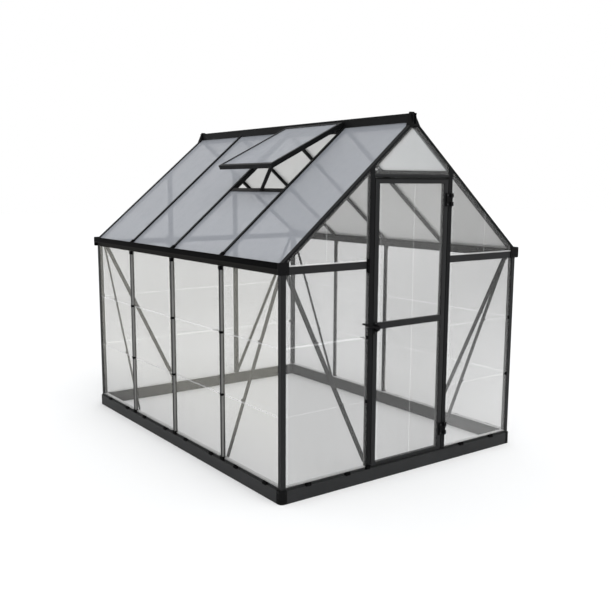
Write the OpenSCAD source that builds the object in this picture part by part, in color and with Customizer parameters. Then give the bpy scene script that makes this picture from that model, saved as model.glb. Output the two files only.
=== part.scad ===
// Greenhouse with clear sheet walls, a hinged front door, an open roof vent and a raised steel base.
// Millimetres. z is up, the door faces -y, the origin is on the ground under the middle of the overall size.

/* [Overall] */
// Width of the base across the front
base_w = 1855; // [1600:1:2400]
// Length of the base along the sides
base_l = 2470; // [2000:1:3600]
// Height of the base rails
base_h = 75; // [60:1:110]
// Height of the top of the eave beams above the ground
eave_z = 1277; // [1180:1:1500]
// Slope of the roof in degrees
roof_pitch = 40; // [34:0.25:44]

/* [Base] */
// Width of the base rails in plan
base_d = 42; // [42:1:60]
// Wall thickness of the base rails
base_t = 3; // [2:0.5:5]
// Radius of the rounded base corners
corner_r = 25; // [5:1:38]

/* [Wall frame] */
// Step from the outside of the base to the outside of the wall frame
wall_inset = 11; // [5:1:12]
// Depth of the wall members
frame_d = 30; // [26:1:30]
// Face width of the corner posts
post_w = 30; // [26:1:36]
// Radius of the outer edge of the corner posts
post_r = 4; // [2:0.5:6]
// Face width of the back studs and the door jambs
stud_w = 30; // [24:1:40]
// Width of the inner flange of the side studs
side_stud_w = 24; // [22:1:34]
// Depth of the side studs behind the wall face
side_stud_d = 13; // [11:0.5:24]
// Width of the outer bar of the side studs
stud_bar_w = 16; // [14:1:22]
// Reach of the outer bar of the side studs in front of the wall face
stud_out = 9; // [3:0.5:10]
// Wall thickness of the hollow members
wall_t = 2.5; // [1.5:0.5:3]
// Height of the rail that carries the lower edge of the wall sheets
sill_h = 14; // [12:1:40]
// Height of the eave beams and of the gable rails
eave_h = 40; // [32:1:50]
// Distance from the middle of the back wall to each back stud
back_stud_x = 301; // [240:1:380]
// Thickness of the outer lip in front of the sheets
lip_t = 3; // [2:0.5:5]
// Depth of the sheet grooves
groove_d = 8; // [6:0.5:10]
// Width of the flat diagonal braces
brace_w = 20; // [14:1:26]
// Thickness of the flat diagonal braces
brace_t = 3; // [2:0.5:5]
// Distance from the wall corner to the upper end of each brace
brace_in = 48; // [44:1:90]
// Height of the lower brace ends above the sills on the end walls
brace_foot = 16; // [12:1:60]

/* [Sheets] */
// Thickness of the clear wall sheets
pane_t = 3; // [2:0.5:5]
// Thickness of the roof sheets
sheet_t = 4; // [3:0.5:6]
// Clearance on each side of a sheet in its groove
pane_gap = 0.3; // [0.1:0.1:0.6]
// Height of the lower seam between the wall sheets
seam_low = 478; // [400:1:560]
// Height of the upper seam between the wall sheets
seam_high = 850; // [760:1:960]
// Height of the clear strips that back the seams
strip_h = 12; // [8:1:24]
// Thickness of the clear strips that back the seams
strip_t = 1.5; // [1:0.5:4]

/* [Roof] */
// Height of the roof surface over the eave beam at the wall face
roof_lift = 14; // [12:1:30]
// Depth of the gable rafters square to the roof
rafter_d = 27; // [25:1:40]
// Depth of the rafter lip in front of the gable sheets
rafter_lip = 12; // [11:0.5:16]
// Depth of the roof bars square to the roof
bar_d = 26; // [24:1:36]
// Width of the roof bars
bar_w = 20; // [16:1:30]
// Height of the bar caps over the roof surface
bar_up = 5; // [0:1:8]
// Thickness of the bar caps over the roof sheets
cap_t = 3; // [2:0.5:5]
// Width of the ridge beam
ridge_w = 22; // [18:1:40]
// Wall thickness of the hollow ridge beam
ridge_t = 3; // [2:0.5:5]
// Height of the ridge beam over the meeting line of the slopes
ridge_up = 38; // [26:1:50]
// Height of the ridge caps over the ridge beam
ridge_cap_up = 8; // [4:1:20]
// Length of the ridge caps at their foot
ridge_cap_l = 40; // [34:1:60]
// Reach of the ridge caps beyond each side of the ridge beam
ridge_cap_out = 27; // [16:1:40]
// Reach of the gutter trough beyond the wall face
gutter_w = 24; // [18:1:36]
// Wall thickness of the gutter trough
gutter_t = 3; // [2:0.5:5]
// Height of the gutter lip over the eave beam
gutter_lip = 27; // [12:1:34]
// Distance from the top of the eave beam down to the underside of the gutter trough
gutter_drop = 12; // [12:1:20]
// Radius of the bead along the gutter lip
gutter_bead = 3; // [2:0.5:4]
// Reach of the gutter caps past the eave beam towards the middle
gutter_cap_in = 17; // [4:1:24]
// Radius of the rounded corners of the gutter caps
gutter_cap_r = 8; // [3:1:14]
// Reach of the roof sheets over the gutter
sheet_over = 8; // [2:1:12]

/* [Vent] */
// Angle between the open vent and the roof
vent_open = 14; // [8:0.5:20]
// Length of the vent down the slope
vent_len = 603; // [480:1:640]
// Face width of the vent rails
vent_w = 22; // [18:1:30]
// Depth of the vent rails
vent_d = 28; // [20:1:34]
// Distance down the slope from the ridge line to the middle of the vent sill
vent_sill_s = 613; // [560:1:680]
// Width of the vent sill down the slope
vent_sill_w = 30; // [22:1:40]
// Clearance between the vent and the middle of the roof bars beside it
vent_side = 2; // [1:0.5:6]
// Width of the vent stay
stay_w = 30; // [12:1:36]
// Thickness of the vent stay
stay_t = 16; // [8:1:18]

/* [Door] */
// Clear width between the door jambs
door_open = 578; // [500:1:640]
// Clearance all round the door leaf
door_gap = 5; // [5:0.5:8]
// Thickness of the threshold plate
threshold_t = 2; // [1:0.5:6]
// Distance from the rafters down to the door header at the jambs
header_drop = 4; // [2:1:60]
// Height of the door header
header_h = 36; // [32:1:50]
// Height of the header lip in front of the gable sheet
header_lip = 14; // [12:1:20]
// Face width of the door stiles
stile_w = 31; // [28:1:40]
// Height of the lower door rail
low_rail_h = 20; // [18:1:60]
// Height of the middle door rail
mid_rail_h = 35; // [24:1:60]
// Height of the middle of the middle door rail above the ground
mid_rail_z = 906; // [800:1:1000]
// Height of the upper door rail
top_rail_h = 32; // [20:1:50]
// Thickness of the door leaf
leaf_d = 27; // [22:1:30]
// Height of each hinge
hinge_h = 76; // [50:1:110]
// Radius of the hinge knuckles
knuckle_r = 6; // [5:0.5:7]
// Radius of the hinge pins
pin_r = 3; // [2:0.25:3.5]
// Running clearance round the hinge pins and the handle spindle
run_gap = 0.3; // [0.2:0.05:0.5]
// Height of the middle of the lower hinge above the ground
hinge_low_z = 210; // [180:1:400]
// Distance from the top of the leaf down to the middle of the upper hinge
hinge_top = 126; // [90:1:300]
// Distance of the hinge pin in front of the wall face
pin_out = 12; // [11:0.5:16]
// Width of the hinge leaves on the door
door_leaf_w = 20; // [14:1:26]
// Width of the hinge leaves on the jamb
jamb_leaf_w = 14; // [10:1:14]

/* [Handle] */
// Height of the handle spindle above the ground
handle_z = 898; // [860:1:940]
// Length of the handle lever from its spindle
lever_l = 121; // [60:1:140]
// Rise of the handle lever towards its tip in degrees
lever_rise = 18; // [0:1:30]
// Thickness of the handle lever
lever_t = 10; // [6:1:14]
// Radius of the lever at its root
root_r = 7; // [5:0.5:8.5]
// Radius of the lever at its tip
tip_r = 5.5; // [3:0.5:7]
// Radius of the hub behind the lever
hub_r = 9; // [7:0.5:12]
// Reach of the handle in front of the wall face
lever_out = 36; // [28:1:45]
// Radius of the handle spindle
spindle_r = 4; // [3:0.25:4]
// Radius of the inside knob
knob_r = 11; // [8:0.5:12]
// Length of the inside knob
knob_l = 18; // [12:1:20]
// Length of the handle plate
rose_h = 70; // [50:1:110]
// Width of the handle plate
rose_w = 28; // [20:1:28]
// Radius of the corners of the handle plate
rose_r = 9; // [3:0.5:9]
// Thickness of the handle plate
rose_t = 3; // [2:0.5:5]

/* [Hidden] */
// How far a cutting shape runs past the piece that it cuts
over = 1;
// Reach of the cuts along the roof beyond the wall face
cut_out = 60;
half_w = base_w / 2 - wall_inset;
half_l = base_l / 2 - wall_inset;
bay_l = half_l / 2;
tan_p = tan(roof_pitch);
cos_p = cos(roof_pitch);
sin_p = sin(roof_pitch);
z_apex = eave_z + roof_lift + tan_p * half_w;
sill_z = base_h + sill_h;
rail_z = eave_z - eave_h;
groove_w = pane_t + 2 * pane_gap;
sheet_groove = sheet_t + 2 * pane_gap;
groove_back = lip_t + groove_w;
// Play of the sheets at the bottom of their grooves
groove_play = 1;
pane_in = groove_d - groove_play;
gable_d = rafter_lip - pane_in;
bar_web = 8;
bar_groove = (bar_w - bar_web) / 2;
sheet_in = bar_web / 2 + groove_play;
gable_in = half_l - frame_d + pane_in;
seam_gap = 0.8;
// Play of the seam strips and of the gable sheets at their ends
end_play = 0.5;
ridge_x = ridge_w / 2;
ridge_z = roof_z(ridge_x, rafter_d);
ridge_top = z_apex + ridge_up;
jamb_in = door_open / 2;
jamb_out = jamb_in + stud_w;
header_z = roof_z(jamb_in, rafter_d) - header_drop;
header_low = header_z - header_h;
gutter_z = eave_z - gutter_drop;
lip_z = eave_z + gutter_lip;
leaf_x = jamb_in - door_gap;
leaf_low = base_h + threshold_t + door_gap;
leaf_top = header_low - door_gap;
// Step of the hinge pins from the middle of the jamb towards the door
pin_in = 1;
pin_x = jamb_in + stud_w / 2 - pin_in;
pin_y = -half_l - pin_out;
hinge_zs = [hinge_low_z, leaf_top - hinge_top];
spindle_x = -leaf_x + stile_w / 2;
plug_t = 5;
seat_gap = 0.1;
origin_y = (lever_out - wall_inset) / 2;
vent_a = roof_pitch - vent_open;
vent_y0 = -bay_l + vent_side;
vent_y1 = -vent_side;
vent_x = -ridge_x - pane_gap - vent_d * sin(vent_a);
vent_lift = 0.6;
vent_z = roof_z(ridge_x, -bar_up) + vent_lift + vent_d * cos(vent_a);
// Place of the stay: its foot along the sill, its head on the lower end of the vent
stay_foot = 245;
stay_low_y = -bay_l + stay_foot;
stay_in = 6;
stay_top_y = vent_y0 + vent_w + stay_w / 2 - stay_in;
stay_set = 3;
// Handle: step of the neck inside the round ends of the lever, and of the hub behind its face
lever_neck = 0.8;
hub_set = 2;
// Hinge knuckles and arms
hinge_set = 3;
arm_back = 1;
arm_t = 5;
// Ridge cap: width of its top, lean of its face and drop of its skirt
cap_top_w = 28;
cap_lean = 27;
cap_drop = 38;
cap_low = z_apex - cap_drop;
cap_high = ridge_top + ridge_cap_up;
// Shallow line along each side of the ridge beam
line_h = 4;
line_d = 1.2;
line_drop = 16;
line_z = ridge_top - line_drop;
side_us = [-bay_l, 0, bay_l];
side_bays = [
    [-half_l + post_w, -bay_l - side_stud_w / 2],
    [-bay_l + side_stud_w / 2, -side_stud_w / 2],
    [side_stud_w / 2, bay_l - side_stud_w / 2],
    [bay_l + side_stud_w / 2, half_l - post_w]
];
front_bays = [[-half_w + post_w, -jamb_out], [jamb_out, half_w - post_w]];
back_in = back_stud_x - stud_w / 2;
back_out = back_stud_x + stud_w / 2;
back_bays = [[-half_w + post_w, -back_out], [-back_in, back_in], [back_out, half_w - post_w]];
$fn = 48;

// Height of a line that lies d below the roof surface, at distance x from the middle
function roof_z(x, d) = z_apex - tan_p * x - d / cos_p;
// Distance from the middle where a line that lies d below the roof surface has height z
function roof_x(z, d) = (z_apex - d / cos_p - z) / tan_p;
// Point on the left slope, s down the slope and d below its surface
function slope_pt(s, d) = [-s * cos_p + d * sin_p, z_apex - s * sin_p - d * cos_p];

// The building is drawn about the middle of its base, then set about the middle of its overall length
module placed() {
    translate([0, origin_y, 0]) children();
}

// Placing of one wall, seen from outside: x along the wall, y into the building
module front_wall() {
    translate([0, -half_l, 0]) children();
}
module back_wall() {
    rotate(180) translate([0, -half_l, 0]) children();
}
module left_wall() {
    rotate(-90) translate([0, -half_w, 0]) children();
}
module right_wall() {
    rotate(90) translate([0, -half_w, 0]) children();
}

// Outline in x and z drawn out from y0 to y1
module along_y(y0, y1) {
    translate([0, y1, 0]) rotate([90, 0, 0]) linear_extrude(y1 - y0) children();
}

// Plate outline with rounded corners
module rounded_plate(w, h, r) {
    translate([r, 0]) square([w - 2 * r, h]);
    translate([0, r]) square([w, h - 2 * r]);
    for (x = [r, w - r], y = [r, h - r]) {
        translate([x, y]) circle(r);
    }
}

// Level wall member with sheet grooves above and below and a hollow behind them
module level_rail(u0, u1, z0, z1, above, below, depth) {
    translate([u0, 0, 0]) rotate([90, 0, 90]) linear_extrude(u1 - u0) difference() {
        translate([0, z0]) square([depth, z1 - z0]);
        if (above) {
            translate([lip_t, z1 - groove_d]) square([groove_w, groove_d + over]);
        }
        if (below) {
            translate([lip_t, z0 - over]) square([groove_w, groove_d + over]);
        }
        translate([groove_back + wall_t, z0 + wall_t])
            square([depth - groove_back - 2 * wall_t, z1 - z0 - 2 * wall_t]);
    }
}

// Upright wall member with sheet grooves on its lower-x and higher-x sides and a hollow behind them
module upright(u, w, z0, z1, low, high, depth) {
    translate([u, 0, z0]) linear_extrude(z1 - z0) difference() {
        translate([-w / 2, 0]) square([w, depth]);
        if (low) {
            translate([-w / 2 - over, lip_t]) square([groove_d + over, groove_w]);
        }
        if (high) {
            translate([w / 2 - groove_d, lip_t]) square([groove_d + over, groove_w]);
        }
        translate([-w / 2 + wall_t, groove_back + wall_t])
            square([w - 2 * wall_t, depth - groove_back - 2 * wall_t]);
    }
}

// Gable outline below a line that lies d under the roof surface
module gable_outline(d) {
    polygon([
        [-half_w, 0], [half_w, 0], [half_w, roof_z(half_w, d)],
        [0, roof_z(0, d)], [-half_w, roof_z(half_w, d)]
    ]);
}

// Everything under the gable rafters of one wall, their front lip and the deeper part behind the sheets
module under_rafters() {
    along_y(-over, groove_back) gable_outline(rafter_lip);
    along_y(groove_back, frame_d + over) gable_outline(rafter_d);
}

// Flat sheet in the groove plane of a wall
module sheet(u0, u1, z0, z1) {
    translate([u0, lip_t + pane_gap, z0]) cube([u1 - u0, pane_t, z1 - z0]);
}

// Three stacked sheets in one bay
module bay_sheets(bay) {
    u0 = bay[0] - pane_in;
    u1 = bay[1] + pane_in;
    sheet(u0, u1, sill_z - groove_d, seam_low - seam_gap / 2);
    sheet(u0, u1, seam_low + seam_gap / 2, seam_high - seam_gap / 2);
    sheet(u0, u1, seam_high + seam_gap / 2, rail_z + pane_in);
}

// Sheets of an end wall, notched round the eave beams that rest on the corner posts
module notched() {
    difference() {
        children();
        for (u = [-half_w - over, half_w - frame_d - pane_gap]) {
            translate([u, 0, rail_z - pane_gap]) cube([frame_d + pane_gap + over, frame_d, eave_h]);
        }
    }
}

// Clear strips behind the seams of one bay
module bay_strips(bay) {
    for (z = [seam_low, seam_high]) {
        translate([bay[0] + end_play, lip_t + pane_gap + pane_t, z - strip_h / 2])
            cube([bay[1] - bay[0] - 2 * end_play, strip_t, strip_h]);
    }
}

// Sheet of any outline in the groove plane of a wall
module shaped_sheet(points) {
    along_y(lip_t + pane_gap, lip_t + pane_gap + pane_t) polygon(points);
}

// Gable sheet beside an upright whose outer face is at distance out
module gable_side_sheet(out) {
    tip = half_w - frame_d - end_play;
    near = out - pane_in;
    shaped_sheet([
        [near, eave_z - groove_d], [tip, eave_z - groove_d],
        [tip, roof_z(tip, gable_d)], [near, roof_z(near, gable_d)]
    ]);
}

// Pointed gable sheet from height z up, as wide as x each side, notched round the ridge beam
module gable_top_sheet(x, z) {
    difference() {
        shaped_sheet([
            [-x, z], [x, z], [x, roof_z(x, gable_d)], [0, roof_z(0, gable_d)], [-x, roof_z(x, gable_d)]
        ]);
        along_y(0, frame_d) translate([-ridge_x - pane_gap, ridge_z - pane_gap])
            square([ridge_w + 2 * pane_gap, ridge_top - ridge_z]);
    }
}

// Strip of roof between two depths, from xa to xb
module roof_strip(xa, xb, d1, d2) {
    polygon([
        [xa, roof_z(xa, d1)], [xb, roof_z(xb, d1)],
        [xb, roof_z(xb, d2)], [xa, roof_z(xa, d2)]
    ]);
}

// Outline of a roof member that leans on the ridge and stands on the eave beam
module roof_member(top, depth) {
    polygon([
        [ridge_x, roof_z(ridge_x, top)], [half_w, roof_z(half_w, top)], [half_w, eave_z],
        [roof_x(eave_z, depth), eave_z], [ridge_x, roof_z(ridge_x, depth)]
    ]);
}

// Cut along a roof member on the right slope
module roof_cut(y0, y1, d1, d2) {
    along_y(y0, y1) roof_strip(0, half_w + cut_out, d1, d2);
}

// One front rafter on the right slope: a lip in front of the gable sheets, a hollow behind them
module rafter() {
    hollow_d = cap_t + sheet_groove + wall_t;
    difference() {
        along_y(-half_l, -half_l + frame_d) roof_member(0, rafter_d);
        roof_cut(-half_l - over, -half_l + groove_back, rafter_lip, rafter_d + over);
        roof_cut(-half_l + lip_t, -half_l + groove_back, rafter_lip - groove_d, rafter_lip + over);
        roof_cut(-half_l + frame_d - groove_d, -half_l + frame_d + over, cap_t, cap_t + sheet_groove);
        roof_cut(-half_l + groove_back + wall_t, -half_l + frame_d - wall_t, hollow_d, rafter_d - wall_t);
    }
}

// One roof bar on the right slope, with a sheet groove on each side and a hollow below them
module roof_bar(y) {
    hollow_d = cap_t + sheet_groove + wall_t;
    difference() {
        along_y(y - bar_w / 2, y + bar_w / 2) roof_member(-bar_up, bar_d);
        roof_cut(y - bar_w / 2 - over, y - bar_w / 2 + bar_groove, cap_t, cap_t + sheet_groove);
        roof_cut(y + bar_w / 2 - bar_groove, y + bar_w / 2 + over, cap_t, cap_t + sheet_groove);
        roof_cut(y - bar_w / 2 + wall_t, y + bar_w / 2 - wall_t, hollow_d, bar_d - wall_t);
    }
}

// One full roof sheet on the right slope
module roof_sheet(y0, y1) {
    along_y(y0, y1) roof_strip(ridge_x, half_w + sheet_over, cap_t + pane_gap, cap_t + pane_gap + sheet_t);
}

// Flat diagonal brace on the inside of a wall
module brace(u0, z0, u1, z1) {
    run = sqrt((u1 - u0) * (u1 - u0) + (z1 - z0) * (z1 - z0));
    nu = -(z1 - z0) / run * brace_w / 2;
    nz = (u1 - u0) / run * brace_w / 2;
    along_y(frame_d, frame_d + brace_t) polygon([
        [u0 + nu, z0 + nz], [u0 - nu, z0 - nz], [u1 - nu, z1 - nz], [u1 + nu, z1 + nz]
    ]);
}

// Steel base: four box rails between four rounded corner blocks
module base_rail(len) {
    rotate([90, 0, 90]) linear_extrude(len, center = true) difference() {
        square([base_d, base_h]);
        translate([base_t, base_t]) square([base_d - 2 * base_t, base_h - 2 * base_t]);
    }
}
module base_front_rail() {
    color("#34373b") translate([0, -base_l / 2, 0]) base_rail(base_w - 2 * base_d);
}
module base_back_rail() {
    color("#34373b") rotate(180) translate([0, -base_l / 2, 0]) base_rail(base_w - 2 * base_d);
}
module base_left_rail() {
    color("#34373b") rotate(-90) translate([0, -base_w / 2, 0]) base_rail(base_l - 2 * base_d);
}
module base_right_rail() {
    color("#34373b") rotate(90) translate([0, -base_w / 2, 0]) base_rail(base_l - 2 * base_d);
}
module base_corner() {
    translate([-base_w / 2, -base_l / 2, 0]) linear_extrude(base_h) difference() {
        square([base_d, base_d]);
        difference() {
            translate([-over, -over]) square([corner_r + over, corner_r + over]);
            translate([corner_r, corner_r]) circle(corner_r);
        }
    }
}
module base_corners() {
    color("#17181a") {
        base_corner();
        mirror([1, 0, 0]) base_corner();
        mirror([0, 1, 0]) base_corner();
        rotate(180) base_corner();
    }
}

// Rails on the base that carry the lower edges of the sheets
module wall_sills() {
    color("#2f3236") {
        for (bay = front_bays) {
            front_wall() level_rail(bay[0], bay[1], base_h, sill_z, true, false, frame_d);
        }
        back_wall() level_rail(-half_w + post_w, half_w - post_w, base_h, sill_z, true, false, frame_d);
        left_wall() level_rail(-half_l + post_w, half_l - post_w, base_h, sill_z, true, false, frame_d);
        right_wall() level_rail(-half_l + post_w, half_l - post_w, base_h, sill_z, true, false, frame_d);
    }
}
module door_threshold() {
    color("#34373b") front_wall() translate([-jamb_in, 0, base_h]) cube([door_open, frame_d, threshold_t]);
}

// Hollow corner posts with a rounded outer edge and a sheet groove on each inner side
module corner_post() {
    hollow = groove_back + wall_t;
    translate([-half_w, -half_l, base_h]) linear_extrude(rail_z - base_h) difference() {
        square([post_w, post_w]);
        difference() {
            translate([-over, -over]) square([post_r + over, post_r + over]);
            translate([post_r, post_r]) circle(post_r);
        }
        translate([post_w - groove_d, lip_t]) square([groove_d + over, groove_w]);
        translate([lip_t, post_w - groove_d]) square([groove_w, groove_d + over]);
        translate([hollow, hollow]) square([post_w - hollow - wall_t, post_w - hollow - wall_t]);
    }
}
module corner_posts() {
    color("#2f3236") {
        corner_post();
        mirror([1, 0, 0]) corner_post();
        mirror([0, 1, 0]) corner_post();
        rotate(180) corner_post();
    }
}

// Side studs: an outer bar that stands on the base, a web between the sheets and an inner flange on the sill
module side_stud(u) {
    translate([u - stud_bar_w / 2, -stud_out, base_h]) cube([stud_bar_w, stud_out, rail_z - base_h]);
    translate([u, 0, sill_z]) linear_extrude(rail_z - sill_z) {
        translate([-stud_bar_w / 2, 0]) square([stud_bar_w, lip_t]);
        translate([-side_stud_w / 2 + groove_d, 0]) square([side_stud_w - 2 * groove_d, side_stud_d]);
        translate([-side_stud_w / 2, groove_back]) square([side_stud_w, side_stud_d - groove_back]);
    }
}
module side_stud_row() {
    for (u = side_us) {
        side_stud(u);
    }
}
module left_studs() {
    color("#2f3236") left_wall() side_stud_row();
}
module right_studs() {
    color("#2f3236") right_wall() side_stud_row();
}

// Back studs, door jambs and header
module back_studs() {
    color("#2f3236") back_wall() {
        for (u = [-back_stud_x, back_stud_x]) {
            intersection() {
                upright(u, stud_w, sill_z, z_apex, true, true, frame_d);
                under_rafters();
            }
        }
    }
}
module door_jambs() {
    color("#2f3236") front_wall() {
        intersection() {
            upright(-jamb_in - stud_w / 2, stud_w, base_h, z_apex, true, false, frame_d);
            under_rafters();
        }
        intersection() {
            upright(jamb_in + stud_w / 2, stud_w, base_h, z_apex, false, true, frame_d);
            under_rafters();
        }
    }
}
module door_header() {
    color("#2f3236") front_wall() difference() {
        level_rail(-jamb_in, jamb_in, header_low, header_z, false, false, frame_d);
        translate([-jamb_in - over, -over, header_low + header_lip])
            cube([door_open + 2 * over, groove_back + over, header_h]);
        translate([-jamb_in - over, lip_t, header_low + header_lip - groove_d])
            cube([door_open + 2 * over, groove_w, header_h]);
    }
}

// Level rails across the gables at eave height
module front_gable_rails() {
    color("#2f3236") front_wall() {
        level_rail(-half_w + frame_d, -jamb_out, rail_z, eave_z, true, true, frame_d);
        level_rail(jamb_out, half_w - frame_d, rail_z, eave_z, true, true, frame_d);
    }
}
module back_gable_rails() {
    color("#2f3236") back_wall() {
        level_rail(-half_w + frame_d, -back_out, rail_z, eave_z, true, true, frame_d);
        level_rail(-back_in, back_in, rail_z, eave_z, true, true, frame_d);
        level_rail(back_out, half_w - frame_d, rail_z, eave_z, true, true, frame_d);
    }
}

// Hollow eave beams with a sheet groove below and a gutter trough outside, its lip rolled to a bead
module right_gutter_solid() {
    along_y(-half_l, half_l) translate([half_w, 0]) {
        difference() {
            translate([-frame_d, rail_z]) square([frame_d, eave_h]);
            translate([-groove_back, rail_z - over]) square([groove_w, groove_d + over]);
            translate([-frame_d + wall_t, rail_z + wall_t])
                square([frame_d - groove_back - 2 * wall_t, eave_h - 2 * wall_t]);
        }
        translate([-lip_t, gutter_z]) square([lip_t + gutter_w, gutter_t]);
        translate([gutter_w - gutter_t, gutter_z]) square([gutter_t, lip_z - gutter_z - gutter_bead]);
        translate([gutter_w - gutter_bead, lip_z - gutter_bead]) circle(gutter_bead);
    }
}
module left_gutter() {
    color("#2b2e32") mirror([1, 0, 0]) right_gutter_solid();
}
module right_gutter() {
    color("#2b2e32") right_gutter_solid();
}
module gutter_cap() {
    along_y(-half_l - plug_t, -half_l) translate([half_w - frame_d - gutter_cap_in, rail_z])
        rounded_plate(frame_d + gutter_cap_in + gutter_w, lip_z - rail_z, gutter_cap_r);
}
module gutter_caps() {
    color("#17181a") {
        gutter_cap();
        mirror([1, 0, 0]) gutter_cap();
        mirror([0, 1, 0]) gutter_cap();
        rotate(180) gutter_cap();
    }
}

// Gable rafters, roof bars and ridge
module front_rafters() {
    color("#2f3236") {
        rafter();
        mirror([1, 0, 0]) rafter();
    }
}
module back_rafters() {
    color("#2f3236") mirror([0, 1, 0]) {
        rafter();
        mirror([1, 0, 0]) rafter();
    }
}
module right_roof_bars() {
    color("#2f3236") {
        for (y = side_us) {
            roof_bar(y);
        }
    }
}
module left_roof_bars() {
    color("#2f3236") mirror([1, 0, 0]) {
        for (y = side_us) {
            roof_bar(y);
        }
    }
}
module ridge_beam() {
    color("#2b2e32") along_y(-half_l, half_l) difference() {
        translate([-ridge_x, ridge_z]) square([ridge_w, ridge_top - ridge_z]);
        translate([-ridge_x + ridge_t, ridge_z + ridge_t])
            square([ridge_w - 2 * ridge_t, ridge_top - ridge_z - 2 * ridge_t]);
        for (x = [-ridge_x - over, ridge_x - line_d]) {
            translate([x, line_z]) square([line_d + over, line_h]);
        }
    }
}

// Cap over one ridge end, its face leaning back towards the roof
module ridge_cap() {
    front = -half_l - plug_t;
    difference() {
        hull() {
            translate([-ridge_x - ridge_cap_out, front, cap_low])
                cube([ridge_w + 2 * ridge_cap_out, ridge_cap_l, over]);
            translate([-cap_top_w / 2, front + cap_lean, cap_high - over])
                cube([cap_top_w, ridge_cap_l - cap_lean, over]);
        }
        along_y(-half_l - seat_gap, half_l) translate([-ridge_x - seat_gap, ridge_z])
            square([ridge_w + 2 * seat_gap, ridge_top - ridge_z + seat_gap]);
        along_y(-half_l - seat_gap, half_l) gable_outline(-seat_gap);
    }
}
module ridge_caps() {
    color("#17181a") {
        ridge_cap();
        mirror([0, 1, 0]) ridge_cap();
    }
}

// Flat diagonal braces in the corner bays, from the eave down to the sills or to the uprights
module side_braces() {
    top = eave_z - eave_h / 2;
    foot = base_h + sill_h / 2;
    color("#3a3d41") {
        for (s = [-1, 1]) {
            left_wall() brace(s * (half_l - brace_in), top, s * bay_l, foot);
            right_wall() brace(s * (half_l - brace_in), top, s * bay_l, foot);
        }
    }
}
module gable_braces() {
    top = eave_z - eave_h / 2;
    foot = sill_z + brace_foot;
    color("#3a3d41") {
        for (s = [-1, 1]) {
            front_wall() brace(s * (half_w - brace_in), top, s * (jamb_in + stud_w / 2), foot);
            back_wall() brace(s * (half_w - brace_in), top, s * back_stud_x, foot);
        }
    }
}

// Clear wall sheets, three in each bay, and the gable sheets
module left_panes() {
    color([0.8, 0.85, 0.88, 0.35]) left_wall() {
        for (bay = side_bays) {
            bay_sheets(bay);
        }
    }
}
module right_panes() {
    color([0.8, 0.85, 0.88, 0.35]) right_wall() {
        for (bay = side_bays) {
            bay_sheets(bay);
        }
    }
}
module front_panes() {
    color([0.8, 0.85, 0.88, 0.35]) front_wall() {
        for (bay = front_bays) {
            notched() bay_sheets(bay);
        }
        gable_side_sheet(jamb_out);
        mirror([1, 0, 0]) gable_side_sheet(jamb_out);
        gable_top_sheet(jamb_in - pane_gap, header_low + header_lip - groove_d);
    }
}
module back_panes() {
    color([0.8, 0.85, 0.88, 0.35]) back_wall() {
        for (bay = back_bays) {
            notched() bay_sheets(bay);
        }
        gable_side_sheet(back_out);
        mirror([1, 0, 0]) gable_side_sheet(back_out);
        gable_top_sheet(back_in + pane_in, eave_z - groove_d);
    }
}
module pane_strips() {
    color([0.75, 0.8, 0.84, 0.5]) {
        for (bay = side_bays) {
            left_wall() bay_strips(bay);
            right_wall() bay_strips(bay);
        }
        for (bay = front_bays) {
            front_wall() bay_strips(bay);
        }
        for (bay = back_bays) {
            back_wall() bay_strips(bay);
        }
    }
}

// Roof sheets between the bars
module right_roof_sheets() {
    color([0.62, 0.65, 0.7, 0.6]) {
        roof_sheet(-gable_in, -bay_l - sheet_in);
        roof_sheet(-bay_l + sheet_in, -sheet_in);
        roof_sheet(sheet_in, bay_l - sheet_in);
        roof_sheet(bay_l + sheet_in, gable_in);
    }
}
module left_roof_sheets() {
    s_top = vent_sill_s + vent_sill_w / 2 - pane_in;
    d1 = cap_t + pane_gap;
    d2 = d1 + sheet_t;
    x_end = half_w + sheet_over;
    color([0.62, 0.65, 0.7, 0.6]) {
        mirror([1, 0, 0]) {
            roof_sheet(-gable_in, -bay_l - sheet_in);
            roof_sheet(sheet_in, bay_l - sheet_in);
            roof_sheet(bay_l + sheet_in, gable_in);
        }
        along_y(-bay_l + sheet_in, -sheet_in) polygon([
            slope_pt(s_top, d1), slope_pt(s_top, d2), [-x_end, roof_z(x_end, d2)], [-x_end, roof_z(x_end, d1)]
        ]);
    }
}

// Open roof vent on the left slope, with its sill and stay
module vent_place() {
    translate([vent_x, 0, vent_z]) rotate([0, -vent_a, 0]) children();
}
module vent_sill() {
    s0 = vent_sill_s - vent_sill_w / 2;
    s1 = vent_sill_s + vent_sill_w / 2;
    color("#2f3236") difference() {
        along_y(-bay_l + bar_w / 2, -bar_w / 2) polygon([
            slope_pt(s0, 0), slope_pt(s1, 0), slope_pt(s1, bar_d), slope_pt(s0, bar_d)
        ]);
        along_y(-bay_l, 0) polygon([
            slope_pt(s1 - groove_d, cap_t), slope_pt(s1 + over, cap_t),
            slope_pt(s1 + over, cap_t + sheet_groove), slope_pt(s1 - groove_d, cap_t + sheet_groove)
        ]);
    }
}
module vent_side_rail() {
    difference() {
        translate([-vent_len, vent_y0, -vent_d]) cube([vent_len, vent_w, vent_d]);
        translate([-vent_len - over, vent_y0 + vent_w - groove_d, -cap_t - sheet_groove])
            cube([vent_len + 2 * over, groove_d + over, sheet_groove]);
    }
}
module vent_side_rails() {
    color("#2f3236") vent_place() {
        vent_side_rail();
        translate([0, vent_y0 + vent_y1, 0]) mirror([0, 1, 0]) vent_side_rail();
    }
}
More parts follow.
